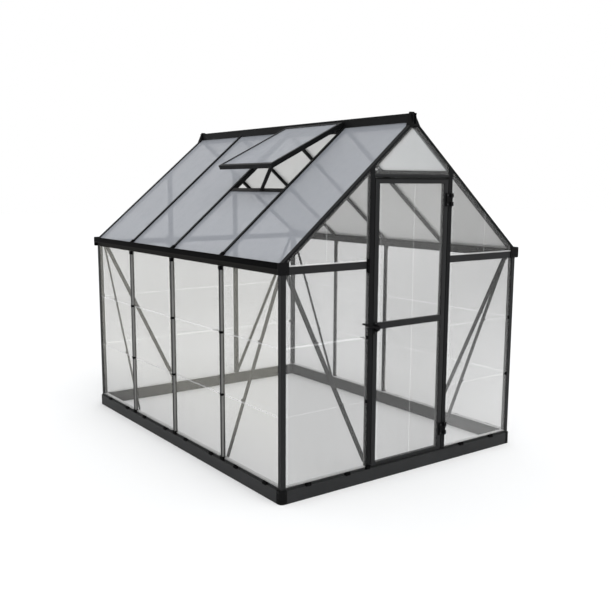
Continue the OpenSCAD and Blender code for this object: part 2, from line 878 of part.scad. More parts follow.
module vent_end_rails() {
    y0 = vent_y0 + vent_w;
    run = vent_y1 - vent_y0 - 2 * vent_w;
    color("#2f3236") vent_place() {
        difference() {
            translate([-vent_w, y0, -vent_d]) cube([vent_w, run, vent_d]);
            translate([-vent_w - over, y0 - over, -cap_t - sheet_groove])
                cube([groove_d + over, run + 2 * over, sheet_groove]);
        }
        difference() {
            translate([-vent_len, y0, -vent_d]) cube([vent_w, run, vent_d]);
            translate([-vent_len + vent_w - groove_d, y0 - over, -cap_t - sheet_groove])
                cube([groove_d + over, run + 2 * over, sheet_groove]);
        }
    }
}
module vent_pane() {
    edge = vent_w - pane_in;
    color([0.62, 0.65, 0.7, 0.6]) vent_place()
        translate([-vent_len + edge - groove_play, vent_y0 + edge, -cap_t - pane_gap - sheet_t])
            cube([vent_len - 2 * edge + groove_play, vent_y1 - vent_y0 - 2 * edge, sheet_t]);
}
module vent_stay() {
    color("#17181a") hull() {
        along_y(stay_low_y - stay_w / 2, stay_low_y + stay_w / 2) polygon([
            slope_pt(vent_sill_s - stay_t / 2, -seat_gap), slope_pt(vent_sill_s + stay_t / 2, -seat_gap),
            slope_pt(vent_sill_s + stay_t / 2, -over), slope_pt(vent_sill_s - stay_t / 2, -over)
        ]);
        vent_place() translate([-vent_len + stay_set, stay_top_y - stay_w / 2, -vent_d - over])
            cube([stay_t, stay_w, over - seat_gap]);
    }
}

// Door leaf: stiles, rails and two sheets
module door_stiles() {
    color("#2f3236") front_wall() {
        difference() {
            upright(-leaf_x + stile_w / 2, stile_w, leaf_low, leaf_top, false, true, leaf_d);
            translate([spindle_x, -over, handle_z]) rotate([-90, 0, 0])
                cylinder(r = spindle_r + run_gap, h = leaf_d + 2 * over);
        }
        upright(leaf_x - stile_w / 2, stile_w, leaf_low, leaf_top, true, false, leaf_d);
    }
}
module door_rails() {
    x = leaf_x - stile_w;
    color("#2f3236") front_wall() {
        level_rail(-x, x, leaf_low, leaf_low + low_rail_h, true, false, leaf_d);
        level_rail(-x, x, mid_rail_z - mid_rail_h / 2, mid_rail_z + mid_rail_h / 2, true, true, leaf_d);
        level_rail(-x, x, leaf_top - top_rail_h, leaf_top, false, true, leaf_d);
    }
}
module door_panes() {
    x = leaf_x - stile_w + pane_in;
    color([0.8, 0.85, 0.88, 0.35]) front_wall() {
        sheet(-x, x, leaf_low + low_rail_h - groove_d, mid_rail_z - mid_rail_h / 2 + pane_in);
        sheet(-x, x, mid_rail_z + mid_rail_h / 2 - groove_d, leaf_top - top_rail_h + pane_in);
    }
}

// Hinges: two outer knuckles and the pin on the jamb, the middle knuckle on the leaf
module jamb_hinge(z) {
    step = hinge_h / 3;
    for (z0 = [z - hinge_h / 2, z + hinge_h / 2 - step]) {
        translate([0, 0, z0]) linear_extrude(step) {
            translate([pin_x, pin_y]) circle(knuckle_r);
            translate([pin_x, pin_y - knuckle_r / 2]) square([jamb_leaf_w, pin_out + knuckle_r / 2]);
        }
    }
    translate([pin_x, pin_y, z - hinge_h / 2]) cylinder(r = pin_r, h = hinge_h);
}
module jamb_hinges() {
    color("#17181a") {
        for (z = hinge_zs) {
            jamb_hinge(z);
        }
    }
}
module door_hinge(z) {
    step = hinge_h / 3;
    difference() {
        union() {
            translate([leaf_x - door_leaf_w, pin_y + hinge_set, z - hinge_h / 2])
                cube([door_leaf_w, pin_out - hinge_set, hinge_h]);
            translate([leaf_x - door_leaf_w, pin_y - arm_back, z - step / 2 + run_gap])
                cube([pin_x - leaf_x + door_leaf_w, arm_t, step - 2 * run_gap]);
            translate([pin_x, pin_y, z - step / 2 + run_gap]) cylinder(r = knuckle_r, h = step - 2 * run_gap);
        }
        translate([pin_x, pin_y, z - hinge_h]) cylinder(r = pin_r + run_gap, h = 2 * hinge_h);
    }
}
module door_hinges() {
    color("#17181a") {
        for (z = hinge_zs) {
            door_hinge(z);
        }
    }
}

// Handle: a plate with round ends on each face of the stile, and a lever that turns with its spindle
module handle_plates() {
    color("#17181a") front_wall() translate([spindle_x, 0, handle_z]) {
        for (y = [-rose_t, leaf_d]) {
            along_y(y, y + rose_t) difference() {
                translate([-rose_w / 2, -rose_h / 2]) rounded_plate(rose_w, rose_h, rose_r);
                circle(spindle_r + run_gap);
            }
        }
    }
}

// Outline of the lever: a tapered neck between a round root and a round tip
module lever_outline() {
    circle(root_r);
    translate([-lever_l, 0]) circle(tip_r);
    polygon([
        [0, root_r - lever_neck], [0, lever_neck - root_r],
        [-lever_l, lever_neck - tip_r], [-lever_l, tip_r - lever_neck]
    ]);
}
module handle_lever() {
    color("#17181a") front_wall() translate([spindle_x, 0, handle_z]) {
        along_y(-lever_out, -lever_out + lever_t) rotate(-lever_rise) lever_outline();
        translate([0, -lever_out + hub_set, 0]) rotate([-90, 0, 0])
            cylinder(r = hub_r, h = lever_out - hub_set - rose_t - run_gap);
        translate([0, -lever_out + lever_t, 0]) rotate([-90, 0, 0])
            cylinder(r = spindle_r, h = lever_out - lever_t + leaf_d + rose_t + knob_l / 2);
        translate([0, leaf_d + rose_t + run_gap, 0]) rotate([-90, 0, 0]) cylinder(r = knob_r, h = knob_l);
    }
}

placed() base_front_rail();
placed() base_back_rail();
placed() base_left_rail();
placed() base_right_rail();
placed() base_corners();
placed() wall_sills();
placed() door_threshold();
placed() corner_posts();
placed() left_studs();
placed() right_studs();
placed() back_studs();
placed() door_jambs();
placed() door_header();
placed() front_gable_rails();
placed() back_gable_rails();
placed() left_gutter();
placed() right_gutter();
placed() gutter_caps();
placed() front_rafters();
placed() back_rafters();
placed() left_roof_bars();
placed() right_roof_bars();
placed() ridge_beam();
placed() ridge_caps();
placed() side_braces();
placed() gable_braces();
placed() left_panes();
placed() right_panes();
placed() front_panes();
placed() back_panes();
placed() pane_strips();
placed() left_roof_sheets();
placed() right_roof_sheets();
placed() vent_sill();
placed() vent_side_rails();
placed() vent_end_rails();
placed() vent_pane();
placed() vent_stay();
placed() door_stiles();
placed() door_rails();
placed() door_panes();
placed() jamb_hinges();
placed() door_hinges();
placed() handle_plates();
placed() handle_lever();
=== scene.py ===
import bmesh
import bpy
import math
from mathutils import Matrix, Vector


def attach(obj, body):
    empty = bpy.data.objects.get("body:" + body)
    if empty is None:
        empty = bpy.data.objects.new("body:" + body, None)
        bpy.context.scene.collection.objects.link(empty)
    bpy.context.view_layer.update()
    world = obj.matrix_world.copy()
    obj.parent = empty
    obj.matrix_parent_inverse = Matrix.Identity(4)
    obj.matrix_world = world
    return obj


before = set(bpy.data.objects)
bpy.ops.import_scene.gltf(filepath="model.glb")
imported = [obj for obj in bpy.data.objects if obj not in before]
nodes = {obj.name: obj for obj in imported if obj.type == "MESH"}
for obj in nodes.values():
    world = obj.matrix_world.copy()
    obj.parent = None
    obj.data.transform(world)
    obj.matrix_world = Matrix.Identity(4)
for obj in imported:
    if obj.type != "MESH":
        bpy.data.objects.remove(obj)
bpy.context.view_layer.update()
scene = bpy.context.scene
scene.view_settings.view_transform = "Standard"
print("frame loaded:", len(nodes), "nodes")

# main lines of the greenhouse, in metres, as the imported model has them
house = {
    "midY": 0.0125,         # the walls stand about this line, the handle reaches further out in front
    "halfW": 0.9165,
    "halfL": 1.224,
    "bay": 0.612,
    "baseTop": 0.075,
    "baseLedge": 0.011,     # step between the base and the wall face
    "sillTop": 0.089,
    "railLow": 1.237,
    "seams": (0.478, 0.850),
    "frameDeep": 0.030,
    "memberWide": 0.030,
    "paneOut": 0.0033,      # depth of the outer face of the wall sheets
    "jambIn": 0.289,
    "jambOut": 0.319,
    "backStud": 0.301,
    "studFlange": 0.024,    # side studs: a flange behind the sheets, and a bar that stands out
    "studDeep": 0.013,
    "studBar": 0.016,
    "studOut": 0.009,
    "pitch": 40.0,
    "apex": 2.060035,
    "barWide": 0.020,
    "hair": 0.0002,         # gap that keeps an added piece clear of what it lies on
}


def addObject(name, data):
    obj = bpy.data.objects.new(name, data)
    scene.collection.objects.link(obj)
    return obj


# camera, fitted to the straight edges of the photograph
cameraSet = {
    "place": (-3.23834, -4.55184, 1.70162),
    "turn": -35.33667,
    "rise": 8.79743,
    "roll": 0.10117,
    "lens": 46.712,
    "sensor": 36,
    "shiftX": 0.0307,
    "clipEnd": 200,
}


def makeCamera(c):
    turn = math.radians(c["turn"])
    rise = math.radians(c["rise"])
    back = Vector((math.sin(turn) * math.cos(rise), -math.cos(turn) * math.cos(rise), math.sin(rise)))
    right = Vector((0, 0, 1)).cross(back).normalized()
    up = back.cross(right)
    tilt = Matrix.Rotation(math.radians(c["roll"]), 3, back)
    axes = Matrix((tilt @ right, tilt @ up, back)).transposed().to_4x4()
    axes.translation = Vector(c["place"])
    data = bpy.data.cameras.new("photoCamera")
    data.lens = c["lens"]
    data.sensor_width = c["sensor"]
    data.shift_x = c["shiftX"]
    data.clip_end = c["clipEnd"]
    cam = addObject("photoCamera", data)
    cam.matrix_world = axes
    scene.camera = cam


makeCamera(cameraSet)
print("camera placed")


# node helpers
def feed(tree, node, sockets):
    for label, source in sockets.items():
        if isinstance(source, bpy.types.NodeSocket):
            tree.links.new(source, node.inputs[label])
        else:
            node.inputs[label].default_value = source


def addNode(tree, kind, sockets=None, **values):
    node = tree.nodes.new(kind)
    for key, value in values.items():
        setattr(node, key, value)
    feed(tree, node, sockets or {})
    return node


def mathNode(tree, operation, a, b=0.0, clamp=False):
    return addNode(tree, "ShaderNodeMath", {0: a, 1: b}, operation=operation, use_clamp=clamp).outputs[0]


def times(tree, a, b, clamp=False):
    return mathNode(tree, "MULTIPLY", a, b, clamp)


def plus(tree, a, b, clamp=False):
    return mathNode(tree, "ADD", a, b, clamp)


def minus(tree, a, b):
    return mathNode(tree, "SUBTRACT", a, b)


# distance of a value from a middle, whichever side it is on
def offNode(tree, value, middle):
    return mathNode(tree, "ABSOLUTE", minus(tree, value, middle))


def noiseNode(tree, vector, scale, detail=2.0, rough=0.5):
    sockets = {"Vector": vector, "Scale": scale, "Detail": detail, "Roughness": rough}
    return addNode(tree, "ShaderNodeTexNoise", sockets).outputs["Fac"]


def rangeNode(tree, value, fromLow, fromHigh, toLow=0.0, toHigh=1.0):
    sockets = {"Value": value, "From Min": fromLow, "From Max": fromHigh, "To Min": toLow, "To Max": toHigh}
    return addNode(tree, "ShaderNodeMapRange", sockets).outputs["Result"]


# nought below an edge and one above it
def stepNode(tree, value, edge, soft):
    return rangeNode(tree, value, edge - soft, edge + soft)


# sockets 0, 6 and 7 of a mix node are its factor and its two colours
def mixColour(tree, factor, a, b):
    a, b = [(*tone, 1.0) if isinstance(tone, tuple) else tone for tone in (a, b)]
    return addNode(tree, "ShaderNodeMix", {0: factor, 6: a, 7: b}, data_type="RGBA").outputs[2]


def splitNode(tree, vector):
    return addNode(tree, "ShaderNodeSeparateXYZ", {0: vector}).outputs


def normalParts(tree):
    return splitNode(tree, addNode(tree, "ShaderNodeNewGeometry").outputs["Normal"])


def objectCoords(tree):
    return addNode(tree, "ShaderNodeTexCoord").outputs["Object"]


def newGroup(name, amounts, outputs):
    group = bpy.data.node_groups.new(name, "ShaderNodeTree")
    group.interface.new_socket("Vector", in_out="INPUT", socket_type="NodeSocketVector")
    for way, labels in (("INPUT", amounts), ("OUTPUT", outputs)):
        for label in labels:
            group.interface.new_socket(label, in_out=way, socket_type="NodeSocketFloat")
    return group, addNode(group, "NodeGroupInput").outputs, addNode(group, "NodeGroupOutput")


# fine orange peel of a sprayed or moulded skin, with a slow drift of tone
grainSet = {"peelRough": 0.55, "driftDetail": 4.0, "driftRough": 0.6, "drift": (0.3, 0.7), "fleckScale": 2.3,
            "fleck": (0.62, 0.74)}


def makeCoatGrain(s):
    group, given, out = newGroup("coatGrain", ["Peel Scale", "Drift Scale"], ["Height", "Drift", "Fleck"])
    vector = given["Vector"]
    drift = noiseNode(group, vector, given["Drift Scale"], s["driftDetail"], s["driftRough"])
    fleck = noiseNode(group, vector, times(group, given["Peel Scale"], s["fleckScale"]), 1.0)
    feed(group, out, {"Height": noiseNode(group, vector, given["Peel Scale"], 2.0, s["peelRough"]),
                      "Drift": rangeNode(group, drift, *s["drift"]),
                      "Fleck": rangeNode(group, fleck, *s["fleck"])})
    return group


# dust that settles on what faces up, thicker in patches
dustSet = {"facing": (0.35, 0.95), "detail": 5.0, "rough": 0.65, "patch": (0.35, 0.75, 0.25, 1.0)}


def makeSettledDust(s):
    group, given, out = newGroup("settledDust", ["Patch Scale", "Amount"], ["Mask"])
    facing = rangeNode(group, normalParts(group)["Z"], *s["facing"])
    patch = noiseNode(group, given["Vector"], given["Patch Scale"], s["detail"], s["rough"])
    patch = rangeNode(group, patch, *s["patch"])
    feed(group, out, {"Mask": times(group, times(group, facing, patch), given["Amount"], True)})
    return group


# faint streaks that rain leaves down a sheet, and a cloudy film
rainSet = {"stretch": (1.0, 1.0, 0.035), "detail": 3.0, "rough": 0.6, "streak": (0.45, 0.75),
           "film": (0.3, 0.7), "waveScale": 1.7}


def makeRainFilm(s):
    group, given, out = newGroup("rainFilm", ["Streak Scale", "Film Scale"], ["Streak", "Film", "Wave"])
    vector, filmScale = given["Vector"], given["Film Scale"]
    stretch = addNode(group, "ShaderNodeMapping", {"Vector": vector, "Scale": s["stretch"]})
    streak = noiseNode(group, stretch.outputs[0], given["Streak Scale"], s["detail"], s["rough"])
    film = noiseNode(group, vector, filmScale, s["detail"])
    feed(group, out, {"Streak": rangeNode(group, streak, *s["streak"]),
                      "Film": rangeNode(group, film, *s["film"]),
                      "Wave": noiseNode(group, vector, times(group, filmScale, s["waveScale"]), 1.0)})
    return group


coatGrain = makeCoatGrain(grainSet)
settledDust = makeSettledDust(dustSet)
rainFilm = makeRainFilm(rainSet)
print("shader groups made")


def newMaterial(name):
    material = bpy.data.materials.new(name)
    material.use_nodes = True
    return material, material.node_tree, material.node_tree.nodes["Principled BSDF"]


def bumpNode(tree, height, strength, distance, **more):
    sockets = {"Strength": strength, "Distance": distance, "Height": height, **more}
    return addNode(tree, "ShaderNodeBump", sockets).outputs[0]


# painted, galvanised and moulded dark skins, all on one recipe with their own numbers
paint = {"peel": 900.0, "drift": 2.0, "bump": 0.16, "depth": 0.0004, "edge": 0.0012}
plastic = {"peel": 1500.0, "drift": 6.0, "bump": 0.28, "depth": 0.0003}
skins = {
    "framePaint": {**paint, "dark": (0.0072, 0.0075, 0.0080), "light": (0.0122, 0.0126, 0.0132),
                   "dust": (0.10, 0.10, 0.095), "dusty": 0.10, "rough": (0.42, 0.58), "gloss": 0.18,
                   "drift": 2.2},
    "roofPaint": {**paint, "dark": (0.0034, 0.0036, 0.0040), "light": (0.0062, 0.0065, 0.0071),
                  "dust": (0.06, 0.06, 0.058), "dusty": 0.08, "rough": (0.44, 0.60), "gloss": 0.09},
    # gutter skin: above the split height its near-black tone is painted shade of the gap under the roof
    # sheets, and below it the face takes a lighter tone
    "gutterShadePaint": {**paint, "dark": (0.0008, 0.0009, 0.0010), "light": (0.0016, 0.0017, 0.0019),
                    "dust": (0.05, 0.05, 0.048), "dusty": 0.06, "rough": (0.50, 0.66), "gloss": 0.018,
                    "shadeSplit": {"top": 1.2710, "soft": 0.0004, "tone": (0.0165, 0.0160, 0.0150)}},
    # sill skin: the pale tone is a painted highlight along the top of the sills, and the near-black upright
    # tone is painted shade on their sides
    "sillHighlightAndShade": {"dark": (0.56, 0.56, 0.555), "light": (0.68, 0.68, 0.675), "dust": (0.45, 0.45, 0.43),
                  "dusty": 0.20, "rough": (0.34, 0.50), "gloss": 0.2, "peel": 1200.0, "drift": 5.0,
                  "bump": 0.10, "depth": 0.0003, "edge": 0.0008, "upright": (0.0170, 0.0175, 0.0182)},
    "glazingBead": {"dark": (0.180, 0.179, 0.173), "light": (0.220, 0.219, 0.212),
                    "dust": (0.20, 0.20, 0.19), "dusty": 0.10, "rough": (0.45, 0.62), "gloss": 0.15,
                    "peel": 1600.0, "drift": 5.0, "bump": 0.15, "depth": 0.0002, "edge": 0.0008},
    "baseSteel": {"dark": (0.0150, 0.0155, 0.0162), "light": (0.0215, 0.0222, 0.0230),
                  "dust": (0.11, 0.108, 0.10), "dusty": 0.12, "rough": (0.46, 0.64), "gloss": 0.18,
                  "peel": 620.0, "drift": 3.0, "bump": 0.20, "depth": 0.0005, "edge": 0.0020},
    "blackPlastic": {**plastic, "dark": (0.0030, 0.0030, 0.0032), "light": (0.0050, 0.0050, 0.0053),
                     "dust": (0.06, 0.06, 0.057), "dusty": 0.06, "rough": (0.52, 0.68), "gloss": 0.07,
                     "edge": 0.0014},
    "clipPlastic": {**plastic, "dark": (0.0014, 0.0014, 0.0015), "light": (0.0026, 0.0026, 0.0028),
                    "dust": (0.03, 0.03, 0.028), "dusty": 0.03, "rough": (0.55, 0.70), "gloss": 0.02,
                    "edge": 0.0010},
    "sealRubber": {"dark": (0.0035, 0.0035, 0.0035), "light": (0.0060, 0.0060, 0.0059),
                   "dust": (0.06, 0.06, 0.056), "dusty": 0.08, "rough": (0.70, 0.85), "gloss": 0.06,
                   "peel": 2200.0, "drift": 9.0, "bump": 0.25, "depth": 0.0002, "edge": 0.0006},
    "boltSteel": {"dark": (0.050, 0.052, 0.055), "light": (0.090, 0.092, 0.096), "dust": (0.12, 0.12, 0.11),
                  "dusty": 0.12, "rough": (0.34, 0.5), "gloss": 0.4, "peel": 1800.0, "drift": 14.0,
                  "bump": 0.18, "depth": 0.0002, "edge": 0.0004, "metal": 0.85},
}
skinWays = {"patch": 3.0, "fleck": 0.22, "peel": (0.25, 0.75), "dustRough": 0.5}

# where the masks by the way a face looks change over, and how fast film grows at a slant
lookSet = {"upright": (0.4, 0.6), "outward": 0.3, "underGlow": (0.1, -0.1), "slantPower": 3.0}


# one on upright faces, nought on those that look up or down
def uprightMask(tree):
    slope = mathNode(tree, "ABSOLUTE", normalParts(tree)["Z"])
    return rangeNode(tree, slope, *lookSet["upright"], 1.0, 0.0)


def makeSkin(name, s, w):
    material, tree, shader = newMaterial(name)
    coords = objectCoords(tree)
    grain = addNode(tree, "ShaderNodeGroup", {"Vector": coords, "Peel Scale": s["peel"],
                                              "Drift Scale": s["drift"]}, node_tree=coatGrain).outputs
    dust = addNode(tree, "ShaderNodeGroup", {"Vector": coords, "Patch Scale": s["drift"] * w["patch"],
                                             "Amount": s["dusty"]}, node_tree=settledDust).outputs
    tone = mixColour(tree, grain["Drift"], s["dark"], s["light"])
    # painted shade: above a given height the skin keeps a near-black tone, and below it takes a lighter one
    if "shadeSplit" in s:
        top, soft = s["shadeSplit"]["top"], s["shadeSplit"]["soft"]
        below = rangeNode(tree, splitNode(tree, coords)["Z"], top - soft, top + soft, 1.0, 0.0)
        tone = mixColour(tree, below, tone, s["shadeSplit"]["tone"])
    # painted shade: upright faces take a dark tone of their own
    if "upright" in s:
        tone = mixColour(tree, uprightMask(tree), tone, s["upright"])
    fleck = mixColour(tree, times(tree, grain["Fleck"], w["fleck"]), tone, s["dust"])
    rough = rangeNode(tree, grain["Height"], *w["peel"], *s["rough"])
    softEdge = addNode(tree, "ShaderNodeBevel", {"Radius": s["edge"]}, samples=4).outputs[0]
    feed(tree, shader, {"Base Color": mixColour(tree, dust["Mask"], fleck, s["dust"]),
                        "Roughness": plus(tree, rough, times(tree, dust["Mask"], w["dustRough"]), True),
                        "Specular IOR Level": s["gloss"],
                        "Metallic": s.get("metal", 0.0),
                        "Normal": bumpNode(tree, grain["Height"], s["bump"], s["depth"], Normal=softEdge)})
    return material


skin = {name: makeSkin(name, values, skinWays) for name, values in skins.items()}

# clear wall sheets: a thin grey film, thinner along the upright edges, that lets light through to the
# inside; the film's tint is partly the sheets' haze and partly a painted reflection of the white studio, and
# it is set apart for each wall as painted light, warmer and brighter on the side walls and darkest at the
# back
# rows of tones: axis and where on it they start, two heights, a tone at each, least depth below the roof;
# these tones are painted light and shade that lift or darken parts of a sheet
gableSheet = {"alpha": 0.203, "axis": "X", "edges": ((0.303, 0.0165), (0.9015, 0.0150)),
              "seams": house["seams"]}
# side walls: a warmer, brighter tint than the gable walls, painted light
sideSheet = {"tint": (0.358, 0.352, 0.322), "film": (0.395, 0.388, 0.356), "alpha": 0.166, "axis": "Y",
             "edges": ((0.0, 0.0120), (0.612, 0.0120), (1.209, 0.0150)), "seams": house["seams"]}
# lips: a near-white tint, shown only on faces seen from outside, a painted highlight of the clear profiles
lipHighlight = {"tint": (0.93, 0.93, 0.92), "film": (0.96, 0.96, 0.95), "oneSided": True}
clearSets = {
    # front, back and door sheets: tints that differ from wall to wall as painted light, the back one darkest
    "frontSheet": {**gableSheet, "tint": (0.205, 0.205, 0.201), "film": (0.230, 0.230, 0.225),
                   "seamShares": ((0.85, 0.45), (0.42, 0.80)), "creases": (-0.62, 0.62), "creaseLow": 1.285,
                   "paintedLightTones": (("X", 0.31, (0.25, 1.10), (0.46, 0.46, 0.455), (0.120, 0.120, 0.117)),
                             ("Z", 1.26, (1.27, 1.60), (0.125, 0.125, 0.121), (0.175, 0.175, 0.171)),
                             ("Z", 1.785, (1.79, 2.00), (0.56, 0.585, 0.595), (0.56, 0.585, 0.595), 0.048))},
    "backSheet": {**gableSheet, "tint": (0.165, 0.165, 0.162), "film": (0.185, 0.185, 0.181),
                  "paintedLightTones": (("Z", 0.0, (0.10, 0.75), (0.85, 0.85, 0.84), (0.165, 0.165, 0.162)),)},
    "leftSheet": {**sideSheet,
                  "paintedLightTones": (("Z", 0.0, (0.08, 0.42), (0.20, 0.197, 0.188), (0.495, 0.482, 0.425)),)},
    "rightSheet": {**sideSheet,
                   "paintedLightTones": (("Z", 0.0, (0.12, 1.05), (0.86, 0.855, 0.83), (0.300, 0.293, 0.262)),)},
    "doorSheet": {"tint": (0.200, 0.200, 0.196), "film": (0.225, 0.225, 0.220), "alpha": 0.203,
                  "axis": "X", "edges": ((0.2685, 0.0155),), "creases": (0.018,), "creaseLow": 0.0,
                  "paintedLightTones": (("Z", 0.0, (0.35, 0.85), (0.230, 0.230, 0.226), (0.110, 0.110, 0.107)),
                            ("Z", 0.95, (0.96, 1.45), (0.110, 0.110, 0.107), (0.260, 0.260, 0.255)))},
    "seamStrip": {"tint": (0.80, 0.80, 0.79), "film": (0.86, 0.86, 0.85), "alpha": 0.025,
                  "shares": {"side": 0.5, "low": 1.0, "right": 1.0}},
    "seamLip": {**lipHighlight, "alpha": 0.220, "shares": {"side": 1.25, "low": 0.12, "right": 0.3}},
    "railLip": {**lipHighlight, "alpha": 0.42},
    "clearStop": {"tint": (0.80, 0.80, 0.79), "film": (0.88, 0.88, 0.87), "alpha": 0.55},
}
clearWays = {"slant": 0.22, "blend": 0.28, "filmAlpha": 0.016, "streakAlpha": 0.010, "streakScale": 38.0,
             "filmScale": 1.6, "rough": (0.12, 0.26), "gloss": 0.5, "ior": 1.49, "wave": 0.03,
             "waveDeep": 0.004, "margin": 0.018, "marginSoft": 0.003, "marginShare": 0.72, "line": 0.0030,
             "lineAlpha": 0.01, "lineTone": 0.6, "highlightLineTone": (0.9, 0.9, 0.89), "crease": 0.0022,
             "creaseAlpha": 0.13, "sideFrom": 0.905, "rightFrom": 0.31, "step": 0.002, "toneSoft": 0.005,
             "roofSoft": 0.004, "lightShare": 0.45, "seam": (0.003, 0.005),
             "seamShares": ((0.45, 0.45), (0.45, 0.45))}


def rainNode(tree, coords, s):
    sockets = {"Vector": coords, "Streak Scale": s["streakScale"], "Film Scale": s["filmScale"]}
    return addNode(tree, "ShaderNodeGroup", sockets, node_tree=rainFilm).outputs


# leaves only a share of a sheet's film for rays that carry light on to other things
def thinForLight(tree, alpha, share):
    path = addNode(tree, "ShaderNodeLightPath")
    rays = plus(tree, path.outputs["Is Shadow Ray"], path.outputs["Is Diffuse Ray"], True)
    return times(tree, alpha, minus(tree, 1.0, times(tree, rays, 1.0 - share)), True)


# more film where a sheet is seen at a slant, a painted reflection of the white studio
def slantReflectionShare(tree, blend, share):
    weight = addNode(tree, "ShaderNodeLayerWeight", {"Blend": blend})
    return times(tree, mathNode(tree, "POWER", weight.outputs["Facing"], lookSet["slantPower"]), share)


# distance from the nearest upright member, out of its middle and half width
def edgeDistance(tree, parts, s):
    along = parts[s["axis"]]
    if s["axis"] == "Y":
        along = minus(tree, along, house["midY"])
    along = mathNode(tree, "ABSOLUTE", along)
    nearest = None
    for middle, half in s["edges"]:
        away = minus(tree, offNode(tree, along, middle), half)
        nearest = away if nearest is None else mathNode(tree, "MINIMUM", nearest, away)
    return nearest


# one where a gable sheet is further below the roof line than given
def belowRoof(tree, parts, deep, soft):
    fall = math.tan(math.radians(house["pitch"]))
    line = times(tree, mathNode(tree, "ABSOLUTE", parts["X"]), -fall)
    under = minus(tree, plus(tree, line, house["apex"]), parts["Z"])
    return stepNode(tree, under, deep, soft)


# one on faces that look out of the building and are seen from outside
def outwardMask(tree, parts):
    facing = addNode(tree, "ShaderNodeNewGeometry")
    look = splitNode(tree, facing.outputs["Normal"])
    outward = plus(tree, times(tree, look["X"], parts["X"]), times(tree, look["Y"], parts["Y"]))
    outer = mathNode(tree, "GREATER_THAN", outward, lookSet["outward"])
    return times(tree, outer, minus(tree, 1.0, facing.outputs["Backfacing"]))


def makeClear(name, s, w):
    material, tree, shader = newMaterial(name)
    coords = objectCoords(tree)
    parts = splitNode(tree, coords)
    rain = rainNode(tree, coords, w)
    colour = mixColour(tree, rain["Film"], s["tint"], s["film"])
    alpha = plus(tree, slantReflectionShare(tree, w["blend"], w["slant"]), s["alpha"])
    alpha = plus(tree, alpha, times(tree, rain["Film"], w["filmAlpha"]))
    alpha = plus(tree, alpha, times(tree, rain["Streak"], w["streakAlpha"]), True)
    # painted light and shade: the sheet's tone is lifted or darkened by bay and by height
    for axis, start, heights, low, high, *depths in s.get("paintedLightTones", ()):
        there = stepNode(tree, parts[axis], start, w["toneSoft"])
        for deep in depths:
            there = times(tree, there, belowRoof(tree, parts, deep, w["roofSoft"]))
        tone = mixColour(tree, rangeNode(tree, parts["Z"], *heights), low, high)
        colour = mixColour(tree, there, colour, tone)
    if "edges" in s:
        away = edgeDistance(tree, parts, s)
        inner = rangeNode(tree, away, w["margin"] - w["marginSoft"], w["margin"], w["marginShare"], 1.0)
        # the pale line at the margin's edge is a painted highlight
        line = rangeNode(tree, offNode(tree, away, w["margin"]), 0.0, w["line"], 1.0, 0.0)
        alpha = plus(tree, times(tree, alpha, inner), times(tree, line, w["lineAlpha"]))
        colour = mixColour(tree, times(tree, line, w["lineTone"]), colour, w["highlightLineTone"])
    rightStep = (w["rightFrom"] - w["step"], w["rightFrom"])
    for z, ends in zip(s.get("seams", ()), s.get("seamShares", w["seamShares"])):
        share = rangeNode(tree, parts["X"], *rightStep, *ends)
        seam = rangeNode(tree, offNode(tree, parts["Z"], z), *w["seam"], share, 1.0)
        alpha = times(tree, alpha, seam)
    # creases: pale lines with more film, a painted highlight
    for x in s.get("creases", ()):
        fold = rangeNode(tree, offNode(tree, parts["X"], x), 0.0, w["crease"], 1.0, 0.0)
        fold = times(tree, fold, mathNode(tree, "GREATER_THAN", parts["Z"], s["creaseLow"]))
        alpha = plus(tree, alpha, times(tree, fold, w["creaseAlpha"]))
        colour = mixColour(tree, fold, colour, w["highlightLineTone"])
    if "shares" in s:
        low = rangeNode(tree, parts["Z"], *house["seams"], s["shares"]["low"], 1.0)
        right = rangeNode(tree, parts["X"], *rightStep, 1.0, s["shares"]["right"])
        outer = mathNode(tree, "ABSOLUTE", parts["X"])
        share = rangeNode(tree, outer, w["sideFrom"] - w["step"], w["sideFrom"], times(tree, low, right),
                          s["shares"]["side"])
        alpha = times(tree, alpha, share)
    alpha = times(tree, alpha, uprightMask(tree))
    if "oneSided" in s:
        alpha = times(tree, alpha, outwardMask(tree, parts))
    feed(tree, shader, {"Base Color": colour,
                        "Alpha": thinForLight(tree, alpha, w["lightShare"]),
                        "Roughness": rangeNode(tree, rain["Streak"], 0.0, 1.0, *w["rough"]),
                        "Specular IOR Level": w["gloss"],
                        "IOR": w["ior"],
                        "Normal": bumpNode(tree, rain["Wave"], w["wave"], w["waveDeep"])})
    return material


# translucent roof sheets with hollow channels that run down the slope; faces seen from below take a pale
# tone, painted light for the daylight that comes through the sheet
roofSet = {"low": (0.300, 0.316, 0.348), "high": (0.312, 0.328, 0.360), "rib": (0.344, 0.359, 0.391),
           "alpha": 0.60, "ribAlpha": 0.04, "slant": 0.10, "blend": 0.3, "pitch": 0.0105, "ribShare": 0.16,
           "rough": (0.42, 0.52), "gloss": 0.3, "ribTone": 0.35, "ribBump": 0.05, "ribDeep": 0.0012,
           "lightShare": 0.40, "under": (0.72, 0.718, 0.702), "streakScale": 22.0, "filmScale": 1.1}


